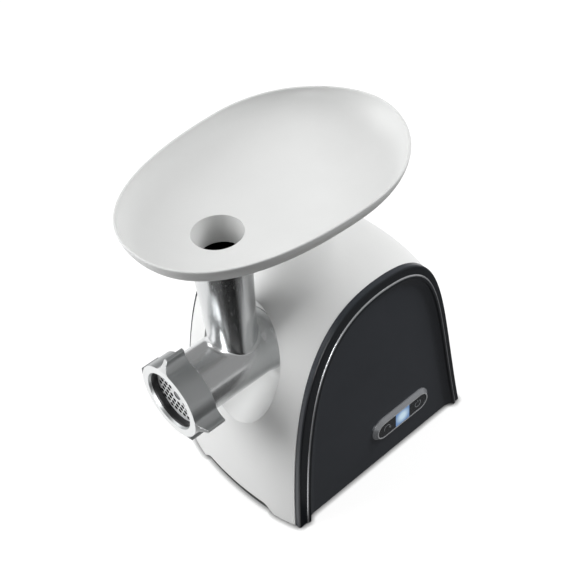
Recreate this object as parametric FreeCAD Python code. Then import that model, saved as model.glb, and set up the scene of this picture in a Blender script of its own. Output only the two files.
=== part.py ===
import FreeCAD, Part
import math
import os

# Electric meat grinder: a domed motor body, a metal grinding head and a lift-off tray.
# Millimetres, +Z up, the meat outlet faces -Y and the control pod is on the +X side.
# While it is drawn, the feed tube stands on the Z axis. At the end every piece is shifted
# so that the origin is the middle of the footprint, on the surface that it stands on.

V = FreeCAD.Vector

# Overall sizes of the body
AXIS_Z = 181.0            # height of the grinding axis
CROWN_ABOVE_AXIS = 75.0   # crown of the side panels above the grinding axis
BODY_WIDTH = 173.0        # twice the reach of the right panel's face
BODY_DEPTH = 242.0        # side panel, front foot to rear foot
BODY_FRONT = -12.5        # front foot of the side panels, from the feed tube axis
GROUND_GAP = 1.0          # shell and panels above the surface, on the rubber feet
CROWN_RISE = 11.0         # how far the shell swells between the panels
SWELL_POWER = 2.3         # 2 swells evenly, more is fuller towards the panels
FRONT_BULGE = 2.0         # front of the shell ahead of the front foot of the panels

# Dome of the side profile: its two curves, as shares of the body's depth and height
CROWN_SETBACK = 0.498     # crown behind the front foot
CROWN_HANDLE = 0.386
FRONT_LEAN = 0.033
FRONT_HANDLE = 0.594
REAR_LEAN = 0.157
REAR_HANDLE = 0.711
HANDLE_EASE = 0.93        # keeps an inset profile parallel on its round corners

# Walls and clearances
SHELL_WALL = 2.6
FIT_GAP = 0.3             # between pieces that are placed side by side
RUN_GAP = 0.05            # radial clearance of a shaft in its bush
SLIDE_GAP = 0.35          # around a piece that lifts or slides
PANEL_PROUD = 1.0         # panels stand this far outside the edge of the shell

# Side panels
PANEL_THICK = 6.5
LEFT_THICK = 3.2          # the plain left panel is flatter
PANEL_RIM = 12.0          # flat rim
PANEL_ROUND = 2.0         # outer edge of the rim
RECESS_WALL = 11.0        # width of the coved wall inside the rim
RECESS_DEPTH = 4.3
RECESS_BACK = 2.2         # the rim is wider in front than behind
RECESS_DROP = 2.5         # and wider at the crown
RIB_RISE = 1.5            # fine ridge round the recess
RIB_WIDTH = 3.5           # its rounded outer side
RIB_TOP = 0.5             # its flat top
LEFT_RECESS = 1.4
LEFT_RIB = 0.5
LIP_DEPTH = 5.0
LIP_WALL = 1.8

# Front pocket of the shell, round the head
POCKET_FLOOR = 38.0       # from the feed tube axis
POCKET_RADIUS = 50.0
POCKET_REACH = 80.0       # how far the cutting form runs to the front
POCKET_SIDE_FLARE = 0.10
POCKET_LOW_FLARE = 0.50
POCKET_ROUND = 9.0
ARCH_HALF = 55.0          # half width of the arch between the front feet
ARCH_RISE = 9.5
ARCH_SLANT = 11.0
ARCH_ROUND = 10.0

# Base
BASE_THICK = 3.0
FOOT_RADIUS = 10.0
FOOT_SEAT = 2.0           # depth of a foot in the base plate
FOOT_INSET_X = 20.0
FOOT_INSET_Y = 24.0
SCREW_SHANK = 1.7
SCREW_HEAD = 3.2

# Control pod on the right panel
POD_BACK = 150.5          # pod centre behind the front foot
POD_Z = 48.2
POD_LENGTH = 82.5
POD_HEIGHT = 29.4
POD_STAND = 4.8           # above the recess floor
POD_SLOPE = 3.7
POD_LIP = 1.2
WINDOW_LENGTH = 20.0
KEY_TRAVEL = 1.2
KEY_THICK = 3.0
KEY_SUNK = 0.5            # face of the keys below the edge of the bezel
BOARD_BACK = 18.0         # circuit board behind the recess floor
BOARD_THICK = 1.6

# Grinding head
PLATE_RADIUS = 31.0
RING_FRONT = -80.3
RING_LENGTH = 25.3
RING_LOBE_RISE = 11.2     # lobes above the round of the ring
RING_TIP_WIDTH = 4.5
RING_LOBES = (178.0, 91.0, -9.0, -71.0)   # degrees, where the four lobes stand at rest
RING_SLOPE = 6.4          # how far the lobes stand back from the front face
RING_WALL = 2.7           # outside the roots of the thread
LIP_OVERLAP = 2.7         # of the ring over the plate
LIP_BEVEL = 2.2
LIP_THICK = 9.4
MOUTH_WALL = 3.0          # of the head, round the plate
THREAD_PITCH = 3.0
THREAD_DEPTH = 1.1
PLATE_THICK = 5.0
PLATE_HOLE = 2.2
PLATE_PITCH = 6.1
PLATE_FIELD = 25.6
PLATE_HUB = 7.5
KNIFE_THICK = 6.6
BARREL_BORE = 26.0
BARREL_WALL = 4.5
FLANGE_RISE = 2.1         # flange above the barrel
FLANGE_LENGTH = 9.0
FLANGE_FLARE = 10.0
SPIGOT_STEP = 2.0         # spigot inside the barrel's outside
SPIGOT_LENGTH = 18.0
TUBE_RISE = 148.3         # top of the feed tube above the grinding axis
TUBE_TOP_RADIUS = 28.5
TUBE_LOW_RADIUS = 21.9    # outside, at the grinding axis
TUBE_LOW_BORE = 18.9
TUBE_TOP_BORE = 21.4      # under the seat of the tray
TUBE_FILLET = 5.0
LUG_HEIGHT = 2.0
LUG_ANGLE = 28.0
LUG_LENGTH = 5.0
TWIST_ANGLE = 30.0        # turn that frees the head

# Auger
AUGER_GAP = 0.7           # flight to the bore of the head
AUGER_CORE = 9.5
AUGER_PITCH = 29.0
FLIGHT_WIDTH = 5.0
JOURNAL_RADIUS = 9.0
BUSH_WALL = 3.0
REAR_WALL = 14.0          # wall of the head that carries the auger bush
TAIL_FLATS = 13.0
NOSE_FLATS = 11.0
NOSE_PIN = 4.5

# Tray
TRAY_WALL = 2.4
TRAY_DEPTH = 31.3         # floor to rim, over the feed tube axis
TRAY_RISE = 0.037         # rim slope to the rear
TRAY_HALF = 98.0          # inside half width at the rim
TRAY_WIDEST = 83.5        # widest place, behind the feed tube axis
TRAY_FRONT = 81.1         # inside length ahead of the feed tube axis
TRAY_REAR = 196.0
SIDE_FULLNESS = 0.675     # handles of the oval's curves at its sides and ends, 0.552 is an ellipse
FRONT_FULLNESS = 0.604
REAR_FULLNESS = 0.392
FLOOR_HALF = 34.0
FLOOR_WIDEST = 40.0
FLOOR_FRONT = 33.0
FLOOR_REAR = 122.0
THROAT_RADIUS = 23.4
THROAT_LOW = 20.6
THROAT_LENGTH = 28.0
THROAT_WALL = 1.9

# Gear train: teeth, modules and face widths of the three stages
STAGES = (
    {"pinion": 10, "wheel": 60, "module": 1.0, "face": 10.0},
    {"pinion": 12, "wheel": 48, "module": 1.25, "face": 12.0},
    {"pinion": 14, "wheel": 42, "module": 1.75, "face": 16.0},
)
TOOTH_SHARE = 0.42        # tooth width at the pitch circle, of one pitch
ADDENDUM = 0.8
DEDENDUM = 1.15
SECOND_SHAFT_TURN = 35.0  # degrees from straight down, seen from the front
FIRST_SHAFT_X = 8.1
STAGE_GAP = 4.0
PIN_RADIUS = 5.0
GEARBOX_WALL = 4.0
GEARBOX_ROOM = 3.5        # round the tips of the wheels
SOCKET_WALL = 4.5
BUSH_LENGTH = 12.0
COUPLING_RADIUS = 13.0
COUPLING_LENGTH = 15.0
OUTPUT_RADIUS = 8.0
SEAL_THICK = 2.0

# Motor
ROTOR_RADIUS = 24.0
ROTOR_SLOTS = 12
SLOT_RADIUS = 3.2
AIR_GAP = 0.6
STATOR_WIDTH = 90.0
STATOR_HEIGHT = 80.0
STATOR_LENGTH = 30.0
COIL_OVERHANG = 7.0
SHAFT_RADIUS = 4.0
BEARING_RADIUS = 11.0
BEARING_LENGTH = 7.0
FAN_RADIUS = 30.0
FAN_LENGTH = 7.0
FAN_BLADES = 9
COMMUTATOR_RADIUS = 11.0
COMMUTATOR_LENGTH = 10.0
BRUSH_SIDE = 6.0
BRUSH_LENGTH = 14.0
MOTOR_GAP = 3.0
BRACKET_THICK = 4.0
BOLT_RADIUS = 2.0

# Gland for the mains lead, low at the rear of the left panel
GLAND_INSET = 46.0        # from the rear of the body
GLAND_Z = 24.0
GLAND_RADIUS = 6.0        # hole in the panel
GLAND_FLANGE = 9.0
GLAND_STAND = 2.4
GLAND_COLLAR = 1.6        # thickness of the collar behind the panel
GLAND_SEAT = 0.05
EYE_RADIUS = 3.3          # where the lead goes in
EYE_DEPTH = 3.0

# Places that follow from the sizes above
HALF = BODY_WIDTH / 2
SHELL_HALF = HALF - PANEL_THICK
PANEL_TOP = AXIS_Z + CROWN_ABOVE_AXIS
BODY_REAR = BODY_FRONT + BODY_DEPTH
CROWN_Y = BODY_FRONT + CROWN_SETBACK * BODY_DEPTH
RECESS_X = HALF - RECESS_DEPTH
LEFT_FACE = -SHELL_HALF - LEFT_THICK + LEFT_RECESS
GLAND_Y = BODY_REAR - GLAND_INSET
FOOT_STEP = GROUND_GAP + 0.8
PLATE_BORE = PLATE_RADIUS + 0.15
THREAD_RADIUS = PLATE_RADIUS + MOUTH_WALL
THREAD_FIT = THREAD_RADIUS + FIT_GAP + 0.1
RING_BASE = THREAD_FIT + THREAD_DEPTH + RING_WALL
RING_TIP = RING_BASE + RING_LOBE_RISE
RING_THROAT = PLATE_RADIUS - LIP_OVERLAP
RING_MOUTH = RING_THROAT + LIP_BEVEL
BARREL_RADIUS = BARREL_BORE + BARREL_WALL
FLANGE_RADIUS = BARREL_RADIUS + FLANGE_RISE
SPIGOT_RADIUS = BARREL_RADIUS - SPIGOT_STEP
AUGER_RADIUS = BARREL_BORE - AUGER_GAP
POD_Y = BODY_FRONT + POD_BACK
BASE_TOP = GROUND_GAP + BASE_THICK
PLATE_FRONT = RING_FRONT + LIP_THICK + FIT_GAP
PLATE_BACK = PLATE_FRONT + PLATE_THICK
KNIFE_FRONT = PLATE_BACK + FIT_GAP
KNIFE_BACK = KNIFE_FRONT + KNIFE_THICK
MOUTH_FRONT = PLATE_FRONT + 1.5
BORE_FRONT = KNIFE_BACK + 1.0
RING_REAR = RING_FRONT + RING_LENGTH
TUBE_TOP = AXIS_Z + TUBE_RISE
TRAY_FLOOR = TUBE_TOP + TRAY_WALL + FIT_GAP
TRAY_RIM_Z = TRAY_FLOOR + TRAY_DEPTH
FLANGE_BACK = POCKET_FLOOR - 0.2
BORE_REAR = POCKET_FLOOR - 8.0
SPIGOT_END = FLANGE_BACK + SPIGOT_LENGTH
WALL_END = BORE_REAR + REAR_WALL
SOCKET_FRONT = POCKET_FLOOR + SHELL_WALL
GEARBOX_FRONT = SPIGOT_END + 2.0
CAVITY_FRONT = GEARBOX_FRONT + GEARBOX_WALL
OUTPUT_FACE = CAVITY_FRONT + BUSH_LENGTH + 1.0


def along_y(radius, y0, y1, x=0.0, z=AXIS_Z):
    """Round bar along Y."""
    return Part.makeCylinder(radius, y1 - y0, V(x, y0, z), V(0, 1, 0))


def ring_y(outer, inner, y0, y1, x=0.0, z=AXIS_Z):
    """Round ring along Y."""
    return along_y(outer, y0, y1, x, z).cut(along_y(inner, y0 - 1, y1 + 1, x, z))


def turned(profile, x=0.0, z=AXIS_Z):
    """Solid of revolution about an axis along Y, from (radius, y) corners."""
    corners = [V(x + radius, y, z) for radius, y in profile]
    face = Part.Face(Part.makePolygon(corners + corners[:1]))
    return face.revolve(V(x, 0, z), V(0, 1, 0), 360)


def standing(profile, x=0.0, y=0.0):
    """Solid of revolution about a vertical axis, from (radius, z) corners."""
    corners = [V(x + radius, y, z) for radius, z in profile]
    face = Part.Face(Part.makePolygon(corners + corners[:1]))
    return face.revolve(V(x, y, 0), V(0, 0, 1), 360)


def block(x0, x1, y0, y1, z0, z1):
    """Box between two corners."""
    return Part.makeBox(x1 - x0, y1 - y0, z1 - z0, V(x0, y0, z0))


def square_y(flats, y0, y1, x=0.0, z=AXIS_Z):
    """Square bar along Y."""
    half = flats / 2
    return block(x - half, x + half, y0, y1, z - half, z + half)


def fused(shapes):
    """All the given shapes as one solid."""
    return shapes[0].multiFuse(shapes[1:]).removeSplitter()


def mirrored(shape):
    """The same piece on the other side of the body."""
    return shape.mirror(V(0, 0, 0), V(1, 0, 0))


def dome_wire(x, inset, bulge=0.0):
    """Side profile of the body at station x, drawn in by inset. bulge brings its front forward."""
    handle = CROWN_HANDLE * BODY_DEPTH - HANDLE_EASE * inset
    top = PANEL_TOP - inset
    front = BODY_FRONT + inset - bulge
    rear = BODY_REAR - inset
    poles_front = [
        V(x, front, 0),
        V(x, front + FRONT_LEAN * BODY_DEPTH, FRONT_HANDLE * PANEL_TOP),
        V(x, CROWN_Y - handle, top),
        V(x, CROWN_Y, top),
    ]
    poles_rear = [
        V(x, CROWN_Y, top),
        V(x, CROWN_Y + handle, top),
        V(x, rear - REAR_LEAN * BODY_DEPTH, REAR_HANDLE * PANEL_TOP),
        V(x, rear, 0),
    ]
    edges = []
    for poles in (poles_front, poles_rear):
        curve = Part.BezierCurve()
        curve.setPoles(poles)
        edges.append(curve.toShape())
    edges.append(Part.makeLine(poles_rear[-1], poles_front[0]))
    return Part.Wire(edges)


def dome_slab(x0, x1, inset, low=0.0):
    """Flat slab with the side profile of the body, above the height low."""
    slab = Part.Face(dome_wire(x0, inset)).extrude(V(x1 - x0, 0, 0))
    return above(slab, low)


def dome_loft(inset, half, low=0.0):
    """Swelling body between the panels, above the height low."""
    wires = []
    for share in (-1.0, -0.5, 0.0, 0.5, 1.0):
        x = half * share
        swell = CROWN_RISE * (1 - abs(x / SHELL_HALF) ** SWELL_POWER)
        wires.append(dome_wire(x, inset - swell, FRONT_BULGE))
    return above(Part.makeLoft(wires, True, False), low)


def above(shape, low):
    """Part of a shape that is above the height low."""
    if low <= 0:
        return shape
    box = shape.BoundBox
    return shape.cut(block(box.XMin - 1, box.XMax + 1, box.YMin - 1, box.YMax + 1, box.ZMin - 1, low))


def oval_wire(y, side, low):
    """Round outline across the grinding axis, longer below it."""
    left = V(-side, y, AXIS_Z)
    right = V(side, y, AXIS_Z)
    upper = Part.Arc(left, V(0, y, AXIS_Z + side), right).toShape()
    lower = Part.Arc(right, V(0, y, AXIS_Z - side), left).toShape()
    stretch = FreeCAD.Matrix()
    stretch.A33 = low / side
    stretch.A34 = AXIS_Z * (1 - low / side)
    return Part.Wire([upper, lower.transformGeometry(stretch)])


def pocket_form(wall):
    """Form of the front pocket, larger by one wall."""
    floor = POCKET_FLOOR + wall
    front = POCKET_FLOOR - POCKET_REACH
    radius = POCKET_RADIUS + wall
    side = radius + POCKET_SIDE_FLARE * POCKET_REACH
    low = radius + POCKET_LOW_FLARE * POCKET_REACH
    form = Part.makeLoft([oval_wire(floor, radius, radius), oval_wire(front, side, low)], True, True)
    floor_edges = [edge for edge in form.Edges if abs(edge.BoundBox.YMin - floor) < 0.01
                   and edge.BoundBox.YLength < 0.01]
    return form.makeFillet(POCKET_ROUND + wall, floor_edges)


def foot_places():
    """Middle of each rubber foot."""
    x = SHELL_HALF - FOOT_INSET_X
    return [(side * x, y) for side in (-1, 1)
            for y in (BODY_FRONT + FOOT_INSET_Y, BODY_REAR - FOOT_INSET_Y)]


def main_shell():
    """White middle shell: a swelling tunnel, open to both sides and below."""
    solid = dome_loft(PANEL_PROUD, SHELL_HALF, GROUND_GAP)
    room = dome_loft(PANEL_PROUD + SHELL_WALL, SHELL_HALF + 1)
    room = room.cut(pocket_form(SHELL_WALL))
    solid = solid.cut(pocket_form(0)).cut(room)
    rim = GROUND_GAP + ARCH_RISE
    corners = [
        V(-ARCH_HALF, 0, GROUND_GAP - 1),
        V(-ARCH_HALF, 0, GROUND_GAP),
        V(-ARCH_HALF + ARCH_SLANT, 0, rim),
        V(ARCH_HALF - ARCH_SLANT, 0, rim),
        V(ARCH_HALF, 0, GROUND_GAP),
        V(ARCH_HALF, 0, GROUND_GAP - 1),
    ]
    arch = Part.Face(Part.makePolygon(corners + corners[:1]))
    reach = V(0, BODY_DEPTH + 4 * CROWN_RISE, 0)
    arch.translate(V(0, BODY_FRONT - 2 * CROWN_RISE, 0))
    arch = arch.extrude(reach)
    bends = [edge for edge in arch.Edges if edge.BoundBox.ZMin > rim - 0.1 and edge.BoundBox.XLength < 0.1]
    solid = solid.cut(arch.makeFillet(ARCH_ROUND, bends))
    return solid.cut(along_y(FLANGE_RADIUS + SLIDE_GAP, 0, POCKET_FLOOR + 2 * SHELL_WALL))


def stadium_wire(x, length, height):
    """Outline with round ends, along Y, centred on the control pod."""
    radius = height / 2
    straight = length / 2 - radius
    a = V(x, POD_Y - straight, POD_Z + radius)
    b = V(x, POD_Y + straight, POD_Z + radius)
    c = V(x, POD_Y + straight, POD_Z - radius)
    d = V(x, POD_Y - straight, POD_Z - radius)
    rear = Part.Arc(b, V(x, POD_Y + length / 2, POD_Z), c).toShape()
    front = Part.Arc(d, V(x, POD_Y - length / 2, POD_Z), a).toShape()
    return Part.Wire([Part.makeLine(a, b), rear, Part.makeLine(c, d), front])


def stadium_slab(x0, x1, inset):
    """Slab with the outline of the control pod, drawn in by inset."""
    wire = stadium_wire(x0, POD_LENGTH - 2 * inset, POD_HEIGHT - 2 * inset)
    return Part.Face(wire).extrude(V(x1 - x0, 0, 0))


def in_recess(shape):
    """Shape drawn on the outline of the body, moved to where the recess lies."""
    shape.translate(V(0, RECESS_BACK, -RECESS_DROP))
    return shape


def plain_panel(thick, depth, rib):
    """Side panel on the right, without openings: rim, fine ridge, coved wall and recessed field."""
    back = SHELL_HALF
    face = back + thick
    solid = dome_slab(back, face, 0, GROUND_GAP)
    rim_edges = [edge for edge in solid.Edges if abs(edge.BoundBox.XMin - face) < 0.01
                 and edge.BoundBox.XLength < 0.01 and edge.BoundBox.ZMax > GROUND_GAP + 1]
    solid = solid.makeFillet(PANEL_ROUND, rim_edges)
    ridge_edge = PANEL_RIM - RIB_TOP
    crest = [dome_wire(face - 1, ridge_edge - RIB_WIDTH)]
    for turn in (0, 18, 36, 54, 72, 90):
        inset = ridge_edge - RIB_WIDTH * math.cos(math.radians(turn))
        crest.append(dome_wire(face + rib * math.sin(math.radians(turn)), inset))
    ridge = Part.makeLoft(crest, True, True)
    wires = []
    for turn in (0, 22.5, 45, 67.5, 90):
        inset = PANEL_RIM + RECESS_WALL * (1 - math.cos(math.radians(turn)))
        wires.append(dome_wire(face - depth * math.sin(math.radians(turn)), inset))
    recess = in_recess(Part.makeLoft(wires, True, False))
    solid = solid.fuse(above(in_recess(ridge), GROUND_GAP)).cut(recess)
    solid = solid.cut(in_recess(dome_slab(face, face + rib + 1, PANEL_RIM)))
    edge = PANEL_PROUD + SHELL_WALL + FIT_GAP
    lip = dome_slab(back - LIP_DEPTH, back, edge, BASE_TOP + 1)
    lip = lip.cut(dome_slab(back - LIP_DEPTH - 1, back + 1, edge + LIP_WALL))
    return solid.fuse(lip).removeSplitter()


def board_posts():
    """Four posts on the back of the right panel that carry the circuit board."""
    posts = []
    for side in (-1, 1):
        for rise in (-1, 1):
            y = POD_Y + side * (POD_LENGTH / 2 + 3)
            z = POD_Z + rise * 12
            start = V(RECESS_X - BOARD_BACK, y, z)
            posts.append(Part.makeCylinder(3.0, BOARD_BACK - 1, start, V(1, 0, 0)))
    return posts


def right_panel():
    """Panel with the opening for the keys and the posts for the board."""
    opening = stadium_slab(SHELL_HALF - 1, HALF, POD_SLOPE + POD_LIP + 1)
    return fused([plain_panel(PANEL_THICK, RECESS_DEPTH, RIB_RISE)] + board_posts()).cut(opening)


def left_panel():
    """Plain panel with the hole for the gland of the mains lead."""
    hole = Part.makeCylinder(GLAND_RADIUS, 40, V(-HALF - 5, GLAND_Y, GLAND_Z), V(1, 0, 0))
    return mirrored(plain_panel(LEFT_THICK, LEFT_RECESS, LEFT_RIB)).cut(hole)


def base_plate():
    """Floor of the body, with seats for the feet and a rim behind the arches of the shell."""
    half = SHELL_HALF - FIT_GAP
    edge = PANEL_PROUD + SHELL_WALL + FIT_GAP
    outline = dome_loft(edge, half)
    plate = outline.common(block(-half, half, -900, 900, GROUND_GAP, BASE_TOP))
    rim_half = half - 2 * LIP_DEPTH
    rim = outline.common(block(-rim_half, rim_half, -900, 900, BASE_TOP, GROUND_GAP + 2 * ARCH_RISE))
    rim = rim.cut(dome_loft(edge + SHELL_WALL, half))
    plate = fused([plate, rim])
    for x, y in foot_places():
        seat = Part.makeCylinder(FOOT_RADIUS, FOOT_SEAT, V(x, y, GROUND_GAP))
        shank = Part.makeCylinder(SCREW_SHANK + 0.2, 20, V(x, y, 0))
        plate = plate.cut(seat).cut(shank)
    return plate


def rubber_feet():
    """Four feet with a hollow for the screw head."""
    feet = []
    for x, y in foot_places():
        profile = [
            (SCREW_SHANK + 0.2, GROUND_GAP + FOOT_SEAT),
            (SCREW_SHANK + 0.2, FOOT_STEP),
            (SCREW_HEAD + 0.8, FOOT_STEP),
            (SCREW_HEAD + 0.8, 0),
            (FOOT_RADIUS - 1.2, 0),
            (FOOT_RADIUS - 0.2, 0.6 * GROUND_GAP),
            (FOOT_RADIUS - 0.2, GROUND_GAP + FOOT_SEAT),
        ]
        feet.append(standing(profile, x, y))
    return Part.makeCompound(feet)


def base_screws():
    """Screws through the feet into the base plate."""
    screws = []
    for x, y in foot_places():
        head = Part.makeCylinder(SCREW_HEAD, FOOT_STEP - 0.5, V(x, y, 0.4))
        shank = Part.makeCylinder(SCREW_SHANK, BASE_TOP - FOOT_STEP + 4.1, V(x, y, FOOT_STEP - 0.1))
        cross = fused([block(x - 2, x + 2, y - 0.4, y + 0.4, 0.3, 1.0),
                       block(x - 0.4, x + 0.4, y - 2, y + 2, 0.3, 1.0)])
        screws.append(head.fuse(shank).cut(cross).removeSplitter())
    return Part.makeCompound(screws)


def control_bezel():
    """Raised oval frame of the control pod."""
    low = RECESS_X
    high = RECESS_X + POD_STAND
    wires = [stadium_wire(low, POD_LENGTH, POD_HEIGHT),
             stadium_wire(low + 1.2, POD_LENGTH, POD_HEIGHT),
             stadium_wire(high, POD_LENGTH - 2 * POD_SLOPE, POD_HEIGHT - 2 * POD_SLOPE)]
    frame = Part.makeLoft(wires, True, True)
    return frame.cut(stadium_slab(low - 1, high + 1, POD_SLOPE + POD_LIP))


def key_face():
    """Solid that fills the frame: the keys and the window are cut from it."""
    front = RECESS_X + POD_STAND - KEY_SUNK
    return stadium_slab(front - KEY_THICK, front, POD_SLOPE + POD_LIP + SLIDE_GAP)


def key(side):
    """Push key at one end of the pod, with its stem. side is -1 at the front, 1 at the rear."""
    inner = WINDOW_LENGTH / 2 + SLIDE_GAP
    y0, y1 = sorted((POD_Y + side * inner, POD_Y + side * POD_LENGTH))
    face = key_face().common(block(0, 2 * HALF, y0, y1, 0, 2 * POD_Z))
    back = RECESS_X + POD_STAND - KEY_SUNK - KEY_THICK
    reach = switch_top() + KEY_TRAVEL + 0.2
    stem = Part.makeCylinder(3.0, back - reach + 1, V(reach, key_place(side), POD_Z), V(1, 0, 0))
    return face.fuse(stem).removeSplitter()


def key_place(side):
    """Middle of a key along Y."""
    outer = POD_LENGTH / 2 - POD_SLOPE - POD_LIP
    return POD_Y + side * (outer + WINDOW_LENGTH / 2) / 2


def switch_top():
    """Height of the switches that the stems press."""
    return RECESS_X - BOARD_BACK + 5.0


def display_window():
    """Lit window between the keys, with a light guide down to the board."""
    half = WINDOW_LENGTH / 2
    face = key_face().common(block(0, 2 * HALF, POD_Y - half, POD_Y + half, 0, 2 * POD_Z))
    guide = block(RECESS_X - BOARD_BACK + 3.2, RECESS_X + POD_STAND - KEY_SUNK - KEY_THICK + 0.5,
                  POD_Y - 5, POD_Y + 5, POD_Z - 5, POD_Z + 5)
    return face.fuse(guide).removeSplitter()


def control_board():
    """Circuit board on the posts of the panel."""
    x1 = RECESS_X - BOARD_BACK
    half = POD_LENGTH / 2 + 8
    return block(x1 - BOARD_THICK, x1, POD_Y - half, POD_Y + half, POD_Z - 17, POD_Z + 17)


def key_switches():
    """Two small switches on the board."""
    x0 = RECESS_X - BOARD_BACK
    switches = []
    for side in (-1, 1):
        y = key_place(side)
        body = block(x0, x0 + 3.5, y - 3, y + 3, POD_Z - 3, POD_Z + 3)
        cap = Part.makeCylinder(1.7, switch_top() - x0, V(x0, y, POD_Z), V(1, 0, 0))
        switches.append(body.fuse(cap).removeSplitter())
    return Part.makeCompound(switches)


def window_lamp():
    """Lamp behind the window."""
    x0 = RECESS_X - BOARD_BACK
    return block(x0, x0 + 3.0, POD_Y - 4, POD_Y + 4, POD_Z - 4, POD_Z + 4)


def throat_radius(z):
    """Inside radius of the tray's throat at height z."""
    share = (TRAY_FLOOR - z) / THROAT_LENGTH
    return THROAT_RADIUS + (THROAT_LOW - THROAT_RADIUS) * share


def lugs(extra):
    """Two bayonet lugs on the spigot, larger by extra on every side."""
    y0 = SPIGOT_END - LUG_LENGTH - 3 - extra
    full = ring_y(SPIGOT_RADIUS + LUG_HEIGHT + extra, SPIGOT_RADIUS - 1, y0, y0 + LUG_LENGTH + 2 * extra)
    angle = LUG_ANGLE + 4 * extra
    pieces = []
    for start in (0, 180):
        wedge = Part.makeCylinder(60, 200, V(0, -50, AXIS_Z), V(0, 1, 0), angle)
        wedge.rotate(V(0, 0, AXIS_Z), V(0, 1, 0), start - angle / 2)
        pieces.append(full.common(wedge))
    return pieces


def grinder_housing():
    """Cast head: barrel, feed tube, threaded mouth, flange and bayonet spigot in one piece."""
    profile = [
        (0, MOUTH_FRONT),
        (THREAD_RADIUS - 1, MOUTH_FRONT),
        (THREAD_RADIUS, MOUTH_FRONT + 1),
    ]
    y = MOUTH_FRONT + 2
    while y + THREAD_PITCH < RING_REAR - 2:
        profile += [(THREAD_RADIUS, y), (THREAD_RADIUS - THREAD_DEPTH, y + THREAD_PITCH / 2)]
        y += THREAD_PITCH
    profile += [
        (THREAD_RADIUS, y),
        (THREAD_RADIUS, RING_REAR + 0.3),
        (BARREL_RADIUS, RING_REAR + 3),
        (BARREL_RADIUS, FLANGE_BACK),
        (SPIGOT_RADIUS, FLANGE_BACK),
        (SPIGOT_RADIUS, SPIGOT_END),
        (0, SPIGOT_END),
    ]
    barrel = turned(profile)
    tube = standing([(0, AXIS_Z), (TUBE_LOW_RADIUS, AXIS_Z), (TUBE_TOP_RADIUS, TUBE_TOP), (0, TUBE_TOP)])
    solid = barrel.fuse(tube).removeSplitter()
    joint = [edge for edge in solid.Edges if AXIS_Z + 5 < edge.BoundBox.ZMin
             and edge.BoundBox.ZMax < AXIS_Z + BARREL_RADIUS + 1 and edge.BoundBox.ZLength > 3]
    solid = solid.makeFillet(TUBE_FILLET, joint)
    flange = turned([
        (0, FLANGE_BACK - FLANGE_LENGTH - FLANGE_FLARE),
        (BARREL_RADIUS - 0.2, FLANGE_BACK - FLANGE_LENGTH - FLANGE_FLARE),
        (FLANGE_RADIUS, FLANGE_BACK - FLANGE_LENGTH),
        (FLANGE_RADIUS, FLANGE_BACK),
        (0, FLANGE_BACK),
    ])
    solid = fused([solid, flange] + lugs(0))
    bore = turned([
        (0, MOUTH_FRONT - 1), (PLATE_BORE, MOUTH_FRONT - 1), (PLATE_BORE, BORE_FRONT),
        (BARREL_BORE, BORE_FRONT), (BARREL_BORE, BORE_REAR), (JOURNAL_RADIUS + BUSH_WALL, BORE_REAR),
        (JOURNAL_RADIUS + BUSH_WALL, WALL_END), (SPIGOT_RADIUS - 3.5, WALL_END),
        (SPIGOT_RADIUS - 3.5, SPIGOT_END + 1), (0, SPIGOT_END + 1),
    ])
    seat = TRAY_FLOOR - THROAT_LENGTH - SLIDE_GAP
    seat_low = throat_radius(seat) + THROAT_WALL + SLIDE_GAP
    seat_top = throat_radius(TUBE_TOP) + THROAT_WALL + SLIDE_GAP
    throat = standing([
        (0, AXIS_Z), (TUBE_LOW_BORE, AXIS_Z), (TUBE_TOP_BORE, seat), (seat_low, seat),
        (seat_top, TUBE_TOP), (seat_top + 1, TUBE_TOP + 1), (0, TUBE_TOP + 1),
    ])
    low = AXIS_Z - PLATE_RADIUS
    key_slot = block(-2, 2, MOUTH_FRONT - 1, PLATE_BACK, low - 1.2, low + 2)
    return solid.cut(bore).cut(throat).cut(key_slot)


def alignment_marks():
    """Two small raised marks on the flange that show the locked place."""
    marks = []
    for turn in (-38.0, -52.0):
        bar = block(-1.2, 1.2, FLANGE_BACK - FLANGE_LENGTH + 2, FLANGE_BACK - 2,
                    AXIS_Z + FLANGE_RADIUS - 1, AXIS_Z + FLANGE_RADIUS + 0.3)
        bar.rotate(V(0, 0, AXIS_Z), V(0, 1, 0), -turn)
        marks.append(bar)
    return marks


def grinding_plate():
    """Hardened disc with a field of round holes."""
    disc = along_y(PLATE_RADIUS, PLATE_FRONT, PLATE_BACK)
    low = AXIS_Z - PLATE_RADIUS
    tab = block(-1.7, 1.7, PLATE_FRONT + 2, PLATE_BACK - 0.3, low - 0.9, low + 2)
    disc = disc.fuse(tab)
    drills = [along_y(NOSE_PIN + 0.1, PLATE_FRONT - 1, PLATE_BACK + 1)]
    rows = int(PLATE_FIELD / (PLATE_PITCH * math.sqrt(0.75)))
    for row in range(-rows, rows + 1):
        z = row * PLATE_PITCH * math.sqrt(0.75)
        shift = PLATE_PITCH / 2 if row % 2 else 0.0
        count = int(PLATE_FIELD / PLATE_PITCH) + 1
        for column in range(-count, count + 1):
            x = column * PLATE_PITCH + shift
            if PLATE_HUB < math.hypot(x, z) < PLATE_FIELD + PLATE_HOLE - 1:
                drills.append(along_y(PLATE_HOLE, PLATE_FRONT - 1, PLATE_BACK + 1, x, AXIS_Z + z))
    return disc.cut(drills).removeSplitter()


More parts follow.
